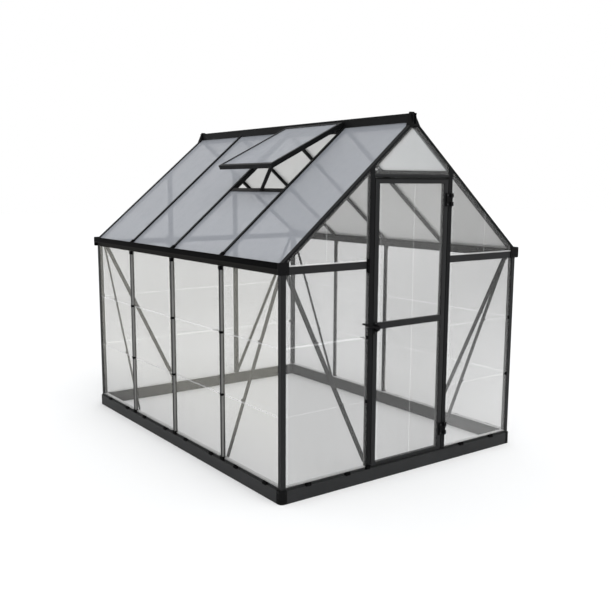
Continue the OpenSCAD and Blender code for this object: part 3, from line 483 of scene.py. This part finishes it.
def makeRoofSheet(name, s):
    material, tree, shader = newMaterial(name)
    coords = objectCoords(tree)
    rain = rainNode(tree, coords, s)
    across = mathNode(tree, "DIVIDE", splitNode(tree, coords)["Y"], s["pitch"])
    fold = offNode(tree, mathNode(tree, "FRACT", across), 0.5)
    rib = rangeNode(tree, fold, 0.5 - s["ribShare"], 0.5)
    colour = mixColour(tree, rain["Film"], s["low"], s["high"])
    colour = mixColour(tree, times(tree, rib, s["ribTone"]), colour, s["rib"])
    # painted light: faces that look down are pale
    underGlow = rangeNode(tree, normalParts(tree)["Z"], *lookSet["underGlow"])
    alpha = plus(tree, times(tree, rib, s["ribAlpha"]), s["alpha"])
    alpha = plus(tree, alpha, slantReflectionShare(tree, s["blend"], s["slant"]), True)
    feed(tree, shader, {"Base Color": mixColour(tree, underGlow, colour, s["under"]),
                        "Alpha": thinForLight(tree, alpha, s["lightShare"]),
                        "Roughness": rangeNode(tree, rain["Streak"], 0.0, 1.0, *s["rough"]),
                        "Specular IOR Level": s["gloss"],
                        "Normal": bumpNode(tree, rib, s["ribBump"], s["ribDeep"])})
    return material


clear = {name: makeClear(name, values, clearWays) for name, values in clearSets.items()}
finish = {**skin, **clear, "roofSheet": makeRoofSheet("roofSheet", roofSet)}
print("materials made")

# which finish each node of the frame gets, where it isn't the frame's own paint
finishOf = {
    "baseSteel": ["base_front_rail", "base_back_rail", "base_left_rail", "base_right_rail",
                  "door_threshold"],
    "blackPlastic": ["base_corners", "gutter_caps", "ridge_caps", "vent_stay", "jamb_hinges", "door_hinges",
                     "handle_plates", "handle_lever"],
    "gutterShadePaint": ["left_gutter", "right_gutter"],
    "roofPaint": ["ridge_beam", "door_jambs", "front_rafters", "back_rafters", "left_roof_bars",
                  "right_roof_bars", "vent_side_rails", "vent_end_rails", "vent_sill"],
    "sillHighlightAndShade": ["wall_sills"],
    "seamStrip": ["pane_strips"],
    "roofSheet": ["left_roof_sheets", "right_roof_sheets", "vent_pane"],
    **{side + "Sheet": [side + "_panes"] for side in ("left", "right", "front", "back", "door")},
}
finishByNode = {node: name for name, members in finishOf.items() for node in members}
for name, obj in nodes.items():
    obj.data.materials.clear()
    obj.data.materials.append(finish[finishByNode.get(name, "framePaint")])
print("nodes finished")

gableWalls = ("front", "back")
sideWalls = ("left", "right")
walls = gableWalls + sideWalls
wallOut = {"front": Vector((0, -1, 0)), "back": Vector((0, 1, 0)),
           "left": Vector((-1, 0, 0)), "right": Vector((1, 0, 0))}
upward = Vector((0, 0, 1))
barPlaces = (-house["bay"], 0.0, house["bay"])


# places on the walls: u runs along a wall seen from outside, deep goes in from its outer face
def wallPoint(wall, u, deep, z):
    w, l, y = house["halfW"], house["halfL"], house["midY"]
    return {
        "front": Vector((u, y - l + deep, z)),
        "back": Vector((-u, y + l - deep, z)),
        "left": Vector((-w + deep, y - u, z)),
        "right": Vector((w - deep, y + u, z)),
    }[wall]


def roofHeight(x, deep):
    p = math.radians(house["pitch"])
    return house["apex"] - math.tan(p) * abs(x) - deep / math.cos(p)


# middle of the upright beside the door, or of the stud in its place at the back
def gableMiddle(wall):
    return house["backStud"] if wall == "back" else (house["jambIn"] + house["jambOut"]) / 2


def halfSpan(wall):
    return house["halfL"] if wall in sideWalls else house["halfW"]


def wallMembers(wall):
    if wall in sideWalls:
        return [(c, house["studFlange"]) for c in barPlaces]
    return [(side * gableMiddle(wall), house["memberWide"]) for side in (-1, 1)]


def wallBays(wall):
    end = halfSpan(wall) - house["memberWide"]
    edges = [-end] + [c + s * wide / 2 for c, wide in wallMembers(wall) for s in (-1, 1)] + [end]
    bays = zip(edges[0::2], edges[1::2])
    return [b for b in bays if not (wall == "front" and b[0] < 0 < b[1])]


# places as (point, facing, along): outside a wall, inside it, or standing up with y to the outside
def onWall(wall, u, deep, z, way=1):
    out = wallOut[wall] * way
    return wallPoint(wall, u, deep, z), out, upward.cross(out)


def inWall(wall, u, deep, z):
    return onWall(wall, u, deep, z, -1)


def standing(wall, u, z):
    return wallPoint(wall, u, 0.0, z), upward, wallOut[wall].cross(upward)


# a tree that sets one shape on every point of a mesh, turned by two attributes of the points
def makePlacer(name):
    tree = bpy.data.node_groups.new(name, "GeometryNodeTree")
    tree.is_modifier = True
    for label, kind in (("Geometry", "NodeSocketGeometry"), ("Shape", "NodeSocketObject"),
                        ("Finish", "NodeSocketMaterial")):
        tree.interface.new_socket(label, in_out="INPUT", socket_type=kind)
    tree.interface.new_socket("Geometry", in_out="OUTPUT", socket_type="NodeSocketGeometry")
    given = addNode(tree, "NodeGroupInput").outputs
    lean = addNode(tree, "FunctionNodeAlignRotationToVector", axis="Z")
    spin = addNode(tree, "FunctionNodeAlignRotationToVector", {"Rotation": lean.outputs[0]}, axis="X",
                   pivot_axis="Z")
    for label, turn in (("facing", lean), ("along", spin)):
        wanted = addNode(tree, "GeometryNodeInputNamedAttribute", {"Name": label}, data_type="FLOAT_VECTOR")
        feed(tree, turn, {"Vector": wanted.outputs["Attribute"]})
    shape = addNode(tree, "GeometryNodeObjectInfo", {"Object": given["Shape"]}, transform_space="ORIGINAL")
    place = addNode(tree, "GeometryNodeInstanceOnPoints",
                    {"Points": given["Geometry"], "Instance": shape.outputs["Geometry"],
                     "Rotation": spin.outputs[0]})
    real = addNode(tree, "GeometryNodeRealizeInstances", {"Geometry": place.outputs["Instances"]})
    coat = addNode(tree, "GeometryNodeSetMaterial",
                   {"Geometry": real.outputs["Geometry"], "Material": given["Finish"]})
    addNode(tree, "NodeGroupOutput", {"Geometry": coat.outputs["Geometry"]})
    return tree


placer = makePlacer("placer")


def settle(obj, body):
    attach(obj, body)


# the shape stands on each place's point with z to its facing and x to its along
def setShapes(name, shape, places, coat="clipPlastic", body="frame"):
    mesh = bpy.data.meshes.new(name)
    mesh.from_pydata([p[0] for p in places], [], [])
    for label, index in (("facing", 1), ("along", 2)):
        values = mesh.attributes.new(label, "FLOAT_VECTOR", "POINT")
        for item, given in zip(values.data, places):
            item.vector = given[index]
    obj = addObject(name, mesh)
    modifier = obj.modifiers.new("placer", "NODES")
    modifier.node_group = placer
    wanted = {"Shape": shape, "Finish": finish[coat]}
    for item in placer.interface.items_tree:
        if item.in_out == "INPUT" and item.name in wanted:
            modifier[item.identifier] = wanted[item.name]
    graph = bpy.context.evaluated_depsgraph_get()
    mesh = bpy.data.meshes.new_from_object(obj.evaluated_get(graph))
    obj.modifiers.clear()
    obj.data = mesh
    settle(obj, body)


def meshObject(name, form):
    bmesh.ops.recalc_face_normals(form, faces=form.faces)
    mesh = bpy.data.meshes.new(name)
    form.to_mesh(mesh)
    form.free()
    return addObject(name, mesh)


def addPiece(name, form, coat, body="frame"):
    obj = meshObject(name, form)
    obj.data.materials.append(finish[coat])
    settle(obj, body)


# small shapes, drawn standing on z = 0 and taken away again when everything is placed
shapeStore = []


def shapeObject(name, form):
    obj = meshObject(name, form)
    shapeStore.append(obj)
    return obj


def wrapRings(form, first, last):
    count = len(first)
    for i in range(count):
        j = (i + 1) % count
        form.faces.new((first[i], first[j], last[j], last[i]))


# a closed solid between two outlines with as many points
def addPrism(form, first, last):
    near = [form.verts.new(p) for p in first]
    far = [form.verts.new(p) for p in last]
    wrapRings(form, near, far)
    form.faces.new(list(reversed(near)))
    form.faces.new(far)
    return form


def drawnShape(outline, wide):
    left = [(-wide / 2, y, z) for y, z in outline]
    return addPrism(bmesh.new(), left, [(wide / 2, y, z) for y, z in outline])


def planShape(outline, low, high, form=None):
    under = [(x, y, low) for x, y in outline]
    return addPrism(form or bmesh.new(), under, [(x, y, high) for x, y in outline])


def alongShape(form, outline, near, far):
    return addPrism(form, [(x, near, z) for x, z in outline], [(x, far, z) for x, z in outline])


def turnedShape(outline, sides, form=None):
    form = form or bmesh.new()
    rings = []
    for radius, height in outline:
        ring = []
        for i in range(sides):
            a = 2 * math.pi * i / sides
            ring.append(form.verts.new((radius * math.cos(a), radius * math.sin(a), height)))
        rings.append(ring)
    for low, high in zip(rings, rings[1:]):
        wrapRings(form, low, high)
    form.faces.new(rings[-1])
    form.faces.new(list(reversed(rings[0])))
    return form


def roundedOutline(wide, high, radius, steps):
    corners = ((1, 1, 0), (-1, 1, 90), (-1, -1, 180), (1, -1, 270))
    outline = []
    for sx, sy, first in corners:
        for i in range(steps + 1):
            a = math.radians(first + 90 * i / steps)
            x = sx * (wide / 2 - radius) + radius * math.cos(a)
            outline.append((x, sy * (high / 2 - radius) + radius * math.sin(a)))
    return outline


def rounded(form, width):
    bmesh.ops.bevel(form, geom=form.edges[:], offset=width, segments=1, affect="EDGES", profile=0.6)
    return form


# a flat plate with rounded corners and softened edges
def plateShape(name, p):
    outline = roundedOutline(p["wide"], p["high"], p["round"], p.get("steps", 2))
    return shapeObject(name, rounded(planShape(outline, 0.0, p["thick"]), p["soft"]))


# hexagon bolt on a washer, and a domed screw
boltSet = {"hex": 0.0052, "high": 0.0042, "top": 0.82, "washer": 0.0082, "washerHigh": 0.0012,
           "washerSides": 16}
screwSet = {"radius": 0.0042, "high": 0.0024, "sides": 12,
            "profile": ((1.0, 0.0), (1.0, 0.35), (0.86, 0.75), (0.55, 1.0), (0.34, 1.0), (0.26, 0.4))}


def makeBolt(s):
    form = turnedShape([(s["washer"], 0.0), (s["washer"], s["washerHigh"])], s["washerSides"])
    head = [(s["hex"], s["washerHigh"]), (s["hex"], s["high"] * s["top"]), (s["hex"] * s["top"], s["high"])]
    return shapeObject("hexBolt", turnedShape(head, 6, form))


def makeScrew(s):
    outline = [(s["radius"] * share, s["high"] * up) for share, up in s["profile"]]
    return shapeObject("domeScrew", turnedShape(outline, s["sides"]))


hexBolt = makeBolt(boltSet)
domeScrew = makeScrew(screwSet)

# clips that hook the sills to the base: they sit on its ledge and turn down over its edge
baseClipSet = {"wide": 0.036, "high": 0.0145, "fromPost": 0.145, "fromFront": 0.118, "hook": 0.0022,
               "down": 0.0045, "lean": 0.0005, "soft": 0.0006}


def makeBaseClips(s):
    ledge = house["baseLedge"] + house["hair"]
    over, h, n = ledge + s["hook"], s["high"], s["down"]
    outline = [(0.0, 0.0), (ledge, 0.0), (ledge, -n), (over, -n), (over, h * 0.15),
               (ledge - s["lean"], h * 0.5), (ledge * 0.5, h), (0.0, h)]
    shape = shapeObject("baseClip", rounded(drawnShape(outline, s["wide"]), s["soft"]))
    places = []
    for wall in walls:
        fromEnd = s["fromFront"] if wall == "left" else s["fromPost"]
        for low, high in wallBays(wall):
            places += [standing(wall, u, house["baseTop"]) for u in (low + s["fromPost"], high - fromEnd)]
    setShapes("baseClips", shape, places)


makeBaseClips(baseClipSet)
print("base clips set")

# moulded collars round the side stud bars: shoes on the base, heads under the eave, clips at the seams
collarSet = {"shoe": (0.021, 0.022), "head": (0.018, 0.022), "clip": (0.0145, 0.014), "thick": 0.0014,
             "play": 0.0003, "inward": 0.0031, "headTop": 1.2365, "shoeFoot": 0.0003}


def collarShape(name, half, high, inward, s):
    inner = house["studBar"] / 2 + s["play"]
    reach = house["studOut"] + s["play"]
    front = reach + s["thick"]
    slope = front * 0.5
    outline = [(-half, -inward), (-inner, -inward), (-inner, reach), (inner, reach), (inner, -inward),
               (half, -inward), (half, slope), (half - slope, front), (-half + slope, front), (-half, slope)]
    return shapeObject(name, planShape(outline, 0.0, high))


def makeCollars(s):
    foot = house["baseTop"] + s["shoeFoot"]
    seamFeet = [z - s["clip"][1] / 2 for z in house["seams"]]
    kinds = (("studShoe", s["shoe"], 0.0, [foot]),
             ("studHead", s["head"], s["inward"], [s["headTop"] - s["head"][1]]),
             ("studClip", s["clip"], s["inward"], seamFeet))
    for name, size, inward, feet in kinds:
        shape = collarShape(name, *size, inward, s)
        places = [standing(wall, u, z) for wall in sideWalls for u, wide in wallMembers(wall) for z in feet]
        setShapes(name + "s", shape, places)


makeCollars(collarSet)
print("stud collars set")

# grey glazing beads along both flanks of the side stud bars, between the collars
beadSet = {"inner": 0.0083, "outer": 0.0135, "back": -0.0031, "front": 0.0082, "gap": 0.0003}


def makeBeads(s, c):
    a, b, low, high = s["inner"], s["outer"], s["back"], s["front"]
    stops = [house["baseTop"] + c["shoeFoot"] + c["shoe"][1]]
    for z in house["seams"]:
        stops += [z - c["clip"][1] / 2, z + c["clip"][1] / 2]
    stops.append(c["headTop"] - c["head"][1])
    form = bmesh.new()
    for side in (-1, 1):
        outline = [(a, low), (b, low), (b, low * 0.2), (a * 0.6 + b * 0.4, high * 0.8),
                   (a * 0.85 + b * 0.15, high), (a, high)]
        for first, last in zip(stops[0::2], stops[1::2]):
            planShape([(side * x, y) for x, y in outline], first + s["gap"], last - s["gap"], form)
    shape = shapeObject("studBead", form)
    places = [standing(wall, u, 0.0) for wall in sideWalls for u, wide in wallMembers(wall)]
    setShapes("studBeads", shape, places, "glazingBead")


makeBeads(beadSet, collarSet)

# shoes in front of the left jamb and the back studs
jambShoeSet = {"half": 0.016, "high": 0.022, "deep": 0.0104, "jamb": -0.311, "soft": 0.0012}


def makeJambShoes(s):
    h, d = s["half"], s["deep"]
    outline = [(-h, 0.0), (h, 0.0), (h, d * 0.55), (h - d * 0.45, d), (-h + d * 0.45, d), (-h, d * 0.55)]
    shape = shapeObject("jambShoe", rounded(planShape(outline, 0.0, s["high"]), s["soft"]))
    places = [standing("front", s["jamb"], house["baseTop"])]
    places += [standing("back", u, house["baseTop"]) for u, wide in wallMembers("back")]
    setShapes("jambShoes", shape, places)


makeJambShoes(jambShoeSet)

# clips at the seams beside the gable posts and the left jamb: black, and clear at the left front post
seamClipSet = {"clip": {"wide": 0.016, "high": 0.018, "thick": 0.0027, "round": 0.0022, "soft": 0.0005},
               "stop": {"wide": 0.006, "high": 0.011, "thick": 0.0030, "round": 0.0018, "soft": 0.0005},
               "postFrom": 0.8}


def makeSeamClips(s):
    clip = plateShape("seamClip", s["clip"])
    stop = plateShape("seamStop", s["stop"])
    clips, stops = [], []
    for wall in gableWalls:
        for z in house["seams"]:
            for u, way in [(u, way) for bay in wallBays(wall) for u, way in zip(bay, (1, -1))]:
                byPost = abs(u) > s["postFrom"]
                leftFront = wall == "front" and u < 0
                if byPost and leftFront:
                    stops.append(onWall(wall, u + way * s["stop"]["wide"] / 2, house["paneOut"], z))
                elif byPost or leftFront:
                    clips.append(onWall(wall, u + way * s["clip"]["wide"] / 2, house["paneOut"], z))
    setShapes("seamClips", clip, clips)
    setShapes("seamStops", stop, stops, "clearStop", "frame")


makeSeamClips(seamClipSet)
print("seam clips set")

# clear lips over the seams, and over the foot of the gable sheets along the rails; their near-white tint,
# shown only from outside, is a painted highlight
lipSet = {"high": 0.009, "thick": 0.0012, "railZ": 1.2822, "railHigh": 0.008, "end": 0.0168,
          "railEnd": 0.0004}


def addLip(form, wall, low, high, z, tall, thick):
    near = house["paneOut"] - house["hair"]
    far = near - thick
    mid = far + thick / 3
    section = [(near, -tall / 2), (near, tall / 2), (mid, tall / 2), (far, tall / 4), (far, -tall / 4),
               (mid, -tall / 2)]
    ends = [[wallPoint(wall, u, deep, z + dz) for deep, dz in section] for u in (low, high)]
    addPrism(form, *ends)


def makeLips(s):
    seams, rails = bmesh.new(), bmesh.new()
    for wall in walls:
        for low, high in wallBays(wall):
            for z in house["seams"]:
                addLip(seams, wall, low + s["end"], high - s["end"], z, s["high"], s["thick"])
            if wall in gableWalls:
                end = s["railEnd"]
                addLip(rails, wall, low + end, high - end, s["railZ"], s["railHigh"], s["thick"])
    addPiece("seamLips", seams, "seamLip", "frame")
    addPiece("railLips", rails, "railLip", "frame")


makeLips(lipSet)

# flat braces: their lines, the clips where they pass the seams, the plates at their heads
braceSet = {"deep": 0.030, "thick": 0.003, "sideFoot": 0.082, "gableFoot": 0.105, "headZ": 1.257,
            "headIn": 0.048, "back": (0.029, 0.0016), "backEnd": 0.012, "backEdge": 0.002, "boltIn": 0.016,
            "clip": {"wide": 0.032, "high": 0.013, "thick": 0.006, "round": 0.003, "soft": 0.0007},
            "plate": {"wide": 0.046, "high": 0.038, "thick": 0.0025, "round": 0.006, "soft": 0.0005,
                      "steps": 3}}


def braceLine(wall, s):
    foot = (house["bay"], s["sideFoot"]) if wall in sideWalls else (gableMiddle(wall), s["gableFoot"])
    return (halfSpan(wall) - s["headIn"], s["headZ"]), foot


def makeBraceFittings(s):
    clips, plates, bolts = [], [], []
    back = s["deep"] + s["thick"] + house["hair"] + s["back"][1]
    for wall in walls:
        (headU, headZ), (footU, footZ) = braceLine(wall, s)
        run = Vector((footU - headU, footZ - headZ)).normalized() * s["boltIn"]
        for side in (-1, 1):
            for z in house["seams"]:
                u = footU + (headU - footU) * (z - footZ) / (headZ - footZ)
                clips.append(onWall(wall, side * u, s["deep"] - house["hair"], z))
            head = Vector((headU, headZ)) + run
            foot = Vector((footU, footZ)) - run
            near = back + house["hair"]
            plates.append(inWall(wall, side * head.x, near, head.y))
            bolts.append(inWall(wall, side * head.x, near + s["plate"]["thick"], head.y))
            bolts.append(inWall(wall, side * foot.x, near, foot.y))
    setShapes("braceClips", plateShape("braceClip", s["clip"]), clips)
    setShapes("bracePlates", plateShape("bracePlate", s["plate"]), plates, "blackPlastic")
    return bolts


# backs that widen the braces, seen from inside
def makeBraceBacks(s):
    wide, thick = s["back"]
    half, flat = wide / 2, wide / 2 - s["backEdge"]
    edge = thick * 0.7
    section = [(-half, 0.0), (half, 0.0), (half, edge), (flat, thick), (-flat, thick), (-half, edge)]
    deep = s["deep"] + s["thick"] + house["hair"]
    for name, pair in (("sideBraceBacks", sideWalls), ("gableBraceBacks", gableWalls)):
        head, foot = braceLine(pair[0], s)
        length = math.dist(head, foot) - 2 * s["backEnd"]
        shape = shapeObject("braceBack", drawnShape(section, length))
        places = []
        for wall in pair:
            for side in (-1, 1):
                head, foot = [wallPoint(wall, side * u, deep, z) for u, z in braceLine(wall, s)]
                places.append(((head + foot) / 2, -wallOut[wall], (head - foot).normalized()))
        setShapes(name, shape, places, "framePaint", "frame")


braceBolts = makeBraceFittings(braceSet)
makeBraceBacks(braceSet)
print("brace fittings set")

# bolts on the inside of the frame
frameBoltSet = {"low": 0.050, "high": 0.024}


def makeFrameBolts(s):
    places = list(braceBolts)
    for wall in walls:
        deep = house["studDeep"] if wall in sideWalls else house["frameDeep"]
        for u, wide in wallMembers(wall):
            for z in (house["sillTop"] + s["low"], house["railLow"] - s["high"]):
                places.append(inWall(wall, u, deep, z))
    setShapes("frameBolts", hexBolt, places, "boltSteel", "frame")


makeFrameBolts(frameBoltSet)
print("frame bolts set")

# plates that tie the gable rails to the left jamb and the back studs
tieSet = {"wide": 0.022, "high": 0.080, "thick": 0.003, "round": 0.005, "soft": 0.0007, "steps": 3,
          "z": 1.254, "gap": 0.0006, "screws": (-0.012, 0.012)}


def makeTies(s):
    places, screws = [], []
    for wall in gableWalls:
        for middle, wide in wallMembers(wall):
            side = 1 if middle > 0 else -1
            if wall == "front" and side > 0:
                continue
            u = middle + side * (wide / 2 + s["gap"] + s["wide"] / 2)
            places.append(onWall(wall, u, -house["hair"], s["z"]))
            screws += [onWall(wall, u, -s["thick"] - house["hair"], s["z"] + dz) for dz in s["screws"]]
    setShapes("railTies", plateShape("railTie", s), places)
    return screws


tieScrews = makeTies(tieSet)

# saddles over the low ends of the roof bars, beside the gutter
saddleSet = {"half": 0.0155, "legIn": 0.0103, "legLow": -0.0031, "under": 0.0053, "top": 0.0105, "up": 0.030,
             "over": 0.009, "end": 0.0003}


def makeSaddles(s):
    form = bmesh.new()
    h, leg, low, under, top = s["half"], s["legIn"], s["legLow"], s["under"], s["top"]
    crown = [(h, low), (h, top * 0.6), (h * 0.6, top), (-h * 0.6, top), (-h, top * 0.6)]
    saddle = [(-h, low), (-leg, low), (-leg, under), (leg, under), (leg, low)] + crown
    alongShape(form, saddle, -s["up"], s["end"])
    alongShape(form, [(-h, low)] + crown, s["end"], s["over"])
    p = math.radians(house["pitch"])
    places = []
    for side in (-1, 1):
        normal = Vector((side * math.sin(p), 0, math.cos(p)))
        for y in barPlaces:
            spot = Vector((side * house["halfW"], house["midY"] + y, roofHeight(house["halfW"], 0.0)))
            places.append((spot, normal, Vector((0, -side, 0))))
    setShapes("barSaddles", shapeObject("barSaddle", form), places)


makeSaddles(saddleSet)
print("ties and saddles set")

# seals beside the leaf on the frame, and black pieces over the leaf: one above it on the frame and a strip
# along its top edge, both painted shade of the gap over the door
sealAndShadeSet = {"halfX": 0.286, "topLow": 1.7378, "topHigh": 1.7421, "front": 0.002, "back": 0.026,
           "soft": 0.0012, "sideIn": 0.2863, "sideFront": 0.004, "sideBack": 0.013, "foot": 0.084,
           "head": 1.7370, "stripHalf": 0.281, "stripLow": 1.7292, "stripHigh": 1.7369, "stripOut": 0.0016,
           "touch": 0.0001}


def makeShadeAndSeals(s):
    face = house["midY"] - house["halfL"]
    low, high, soft = s["topLow"], s["topHigh"], s["soft"]
    front, back = face + s["front"], face + s["back"]
    # the piece above the leaf: a black solid that fills the gap over the door, painted shade
    outline = [(front + soft, low), (back - soft, low), (back, low + soft), (back, high), (front, high),
               (front, low + soft)]
    form = drawnShape(outline, 2 * s["halfX"])
    near, far = face + s["sideFront"], face + s["sideBack"]
    for side in (-1, 1):
        jamb, edge = side * (house["jambIn"] - s["touch"]), side * s["sideIn"]
        outline = [(jamb, near), (edge, near + soft), (edge, far - soft), (jamb, far)]
        planShape(outline, s["foot"], s["head"], form)
    addPiece("doorSeals", form, "sealRubber")
    # strip along the leaf's top edge: painted shade of the gap over the door
    low, high = s["stripLow"], s["stripHigh"]
    inner, mid, outer = face - s["touch"], face - s["stripOut"] * 0.6, face - s["stripOut"]
    outline = [(inner, low), (inner, high), (mid, high), (outer, high - soft), (outer, low + soft),
               (mid, low)]
    addPiece("leafTopStrip", drawnShape(outline, 2 * s["stripHalf"]), "sealRubber", "door")


makeShadeAndSeals(sealAndShadeSet)
print("door seals set")

# round boss behind the lever, which turns with it: shares of its radius and heights above its foot
bossSet = {"radius": 0.0180, "near": 0.0036, "x": -0.2685, "z": 0.898, "sides": 28,
           "profile": ((0.94, 0.0), (1.0, 0.0015), (1.0, 0.009), (0.93, 0.0098), (0.93, 0.0118),
                       (1.0, 0.0126), (1.0, 0.0179), (0.90, 0.0209))}


def makeBoss(s):
    outline = [(s["radius"] * share, s["near"] + up) for share, up in s["profile"]]
    shape = shapeObject("bossShape", turnedShape(outline, s["sides"]))
    setShapes("handleBoss", shape, [onWall("front", s["x"], 0.0, s["z"])], "clipPlastic", "handle")


makeBoss(bossSet)

# black foam wedges that close the eave between the roof bars; their black fills the gap under the roof
# sheets as painted shade of that gap
foamAndShadeSet = {"inner": 0.9045, "outer": 0.9155, "under": 0.0076, "low": 1.2772, "play": 0.0004}


def makeShadeFoam(s):
    form = bmesh.new()
    half = house["barWide"] / 2 + s["play"]
    end = house["halfL"] - house["memberWide"] - s["play"]
    cuts = [-end] + [c + d for c in barPlaces for d in (-half, half)] + [end]
    inner, outer = s["inner"], s["outer"]
    for side in (-1, 1):
        outline = [(side * inner, s["low"]), (side * outer, s["low"])]
        outline += [(side * x, roofHeight(x, s["under"])) for x in (outer, inner)]
        for first, last in zip(cuts[0::2], cuts[1::2]):
            alongShape(form, outline, house["midY"] + first, house["midY"] + last)
    addPiece("eaveFoam", form, "sealRubber")


makeShadeFoam(foamAndShadeSet)

# screws on the ties, gutter caps and base corners, and on the door's hinges and plates
screwSpots = {"capX": (0.885, 0.925), "capZ": 1.256, "capOut": 0.0051, "cornerWide": 0.042,
              "cornerIn": 0.012, "cornerZ": (0.024, 0.052), "cornerOut": 0.0001,
              "hingeX": 0.274, "hingeZ": (0.210, 1.6113), "hingeOut": 0.0091,
              "handleX": -0.2685, "handleZ": (0.898,), "handleOut": 0.0031, "step": 0.027}


def makeScrews(s):
    places = list(tieScrews)
    for wall in gableWalls:
        for side in (-1, 1):
            places += [onWall(wall, side * x, -s["capOut"], s["capZ"]) for x in s["capX"]]
    for wall in walls:
        for side in (-1, 1):
            u = side * (halfSpan(wall) + house["baseLedge"] - s["cornerWide"] + s["cornerIn"])
            places += [onWall(wall, u, -house["baseLedge"] - s["cornerOut"], z) for z in s["cornerZ"]]
    setShapes("frameScrews", domeScrew, places, "blackPlastic")
    places = [onWall("front", s[part + "X"], -s[part + "Out"], z + d)
              for part in ("hinge", "handle") for z in s[part + "Z"] for d in (-s["step"], s["step"])]
    setShapes("doorScrews", domeScrew, places, "boltSteel", "door")


makeScrews(screwSpots)
print("screws set")

for obj in shapeStore:
    bpy.data.objects.remove(obj)

# studio: white world, pale floor and a broad soft sun
studioSet = {"skyLow": 0.62, "skyHigh": 0.88, "skyTop": 0.8, "skyTone": (0.98, 0.99, 1.0, 1.0),
             "seenTone": (1, 1, 1, 1), "sun": 1.15, "sunSpread": 50.0, "sunFrom": (-0.12, -0.55, 1.0),
             "floor": (0.965, 0.965, 0.965), "floorHalf": 40.0, "floorDim": 0.985, "floorScale": 0.6,
             "floorRough": 0.9}


def makeWorld(s):
    world = bpy.data.worlds.new("studioWorld")
    scene.world = world
    world.use_nodes = True
    tree = world.node_tree
    light = tree.nodes["Background"]
    height = splitNode(tree, addNode(tree, "ShaderNodeTexCoord").outputs["Generated"])["Z"]
    strength = rangeNode(tree, height, 0.0, s["skyTop"], s["skyLow"], s["skyHigh"])
    feed(tree, light, {"Strength": strength, "Color": s["skyTone"]})
    seen = addNode(tree, "ShaderNodeBackground", {"Color": s["seenTone"], "Strength": 1.0})
    path = addNode(tree, "ShaderNodeLightPath")
    rays = plus(tree, path.outputs["Is Camera Ray"], path.outputs["Is Glossy Ray"], True)
    rays = plus(tree, rays, path.outputs["Is Transmission Ray"], True)
    mix = addNode(tree, "ShaderNodeMixShader", {0: rays, 1: light.outputs[0], 2: seen.outputs[0]})
    feed(tree, tree.nodes["World Output"], {"Surface": mix.outputs[0]})


def makeSun(s):
    data = bpy.data.lights.new("softSun", "SUN")
    data.energy = s["sun"]
    data.angle = math.radians(s["sunSpread"])
    sun = addObject("softSun", data)
    sun.rotation_mode = "QUATERNION"
    sun.rotation_quaternion = Vector(s["sunFrom"]).to_track_quat("Z", "Y")


def makeFloor(s):
    h = s["floorHalf"]
    mesh = bpy.data.meshes.new("studioFloor")
    mesh.from_pydata([(-h, -h, 0), (h, -h, 0), (h, h, 0), (-h, h, 0)], [], [(0, 1, 2, 3)])
    floor = addObject("studioFloor", mesh)
    material, tree, shader = newMaterial("floorPaper")
    drift = noiseNode(tree, objectCoords(tree), s["floorScale"])
    dim = tuple(c * s["floorDim"] for c in s["floor"])
    feed(tree, shader, {"Base Color": mixColour(tree, drift, dim, s["floor"]), "Roughness": s["floorRough"],
                        "Specular IOR Level": 0.0})
    mesh.materials.append(material)


makeWorld(studioSet)
makeSun(studioSet)
makeFloor(studioSet)
print("studio lit")
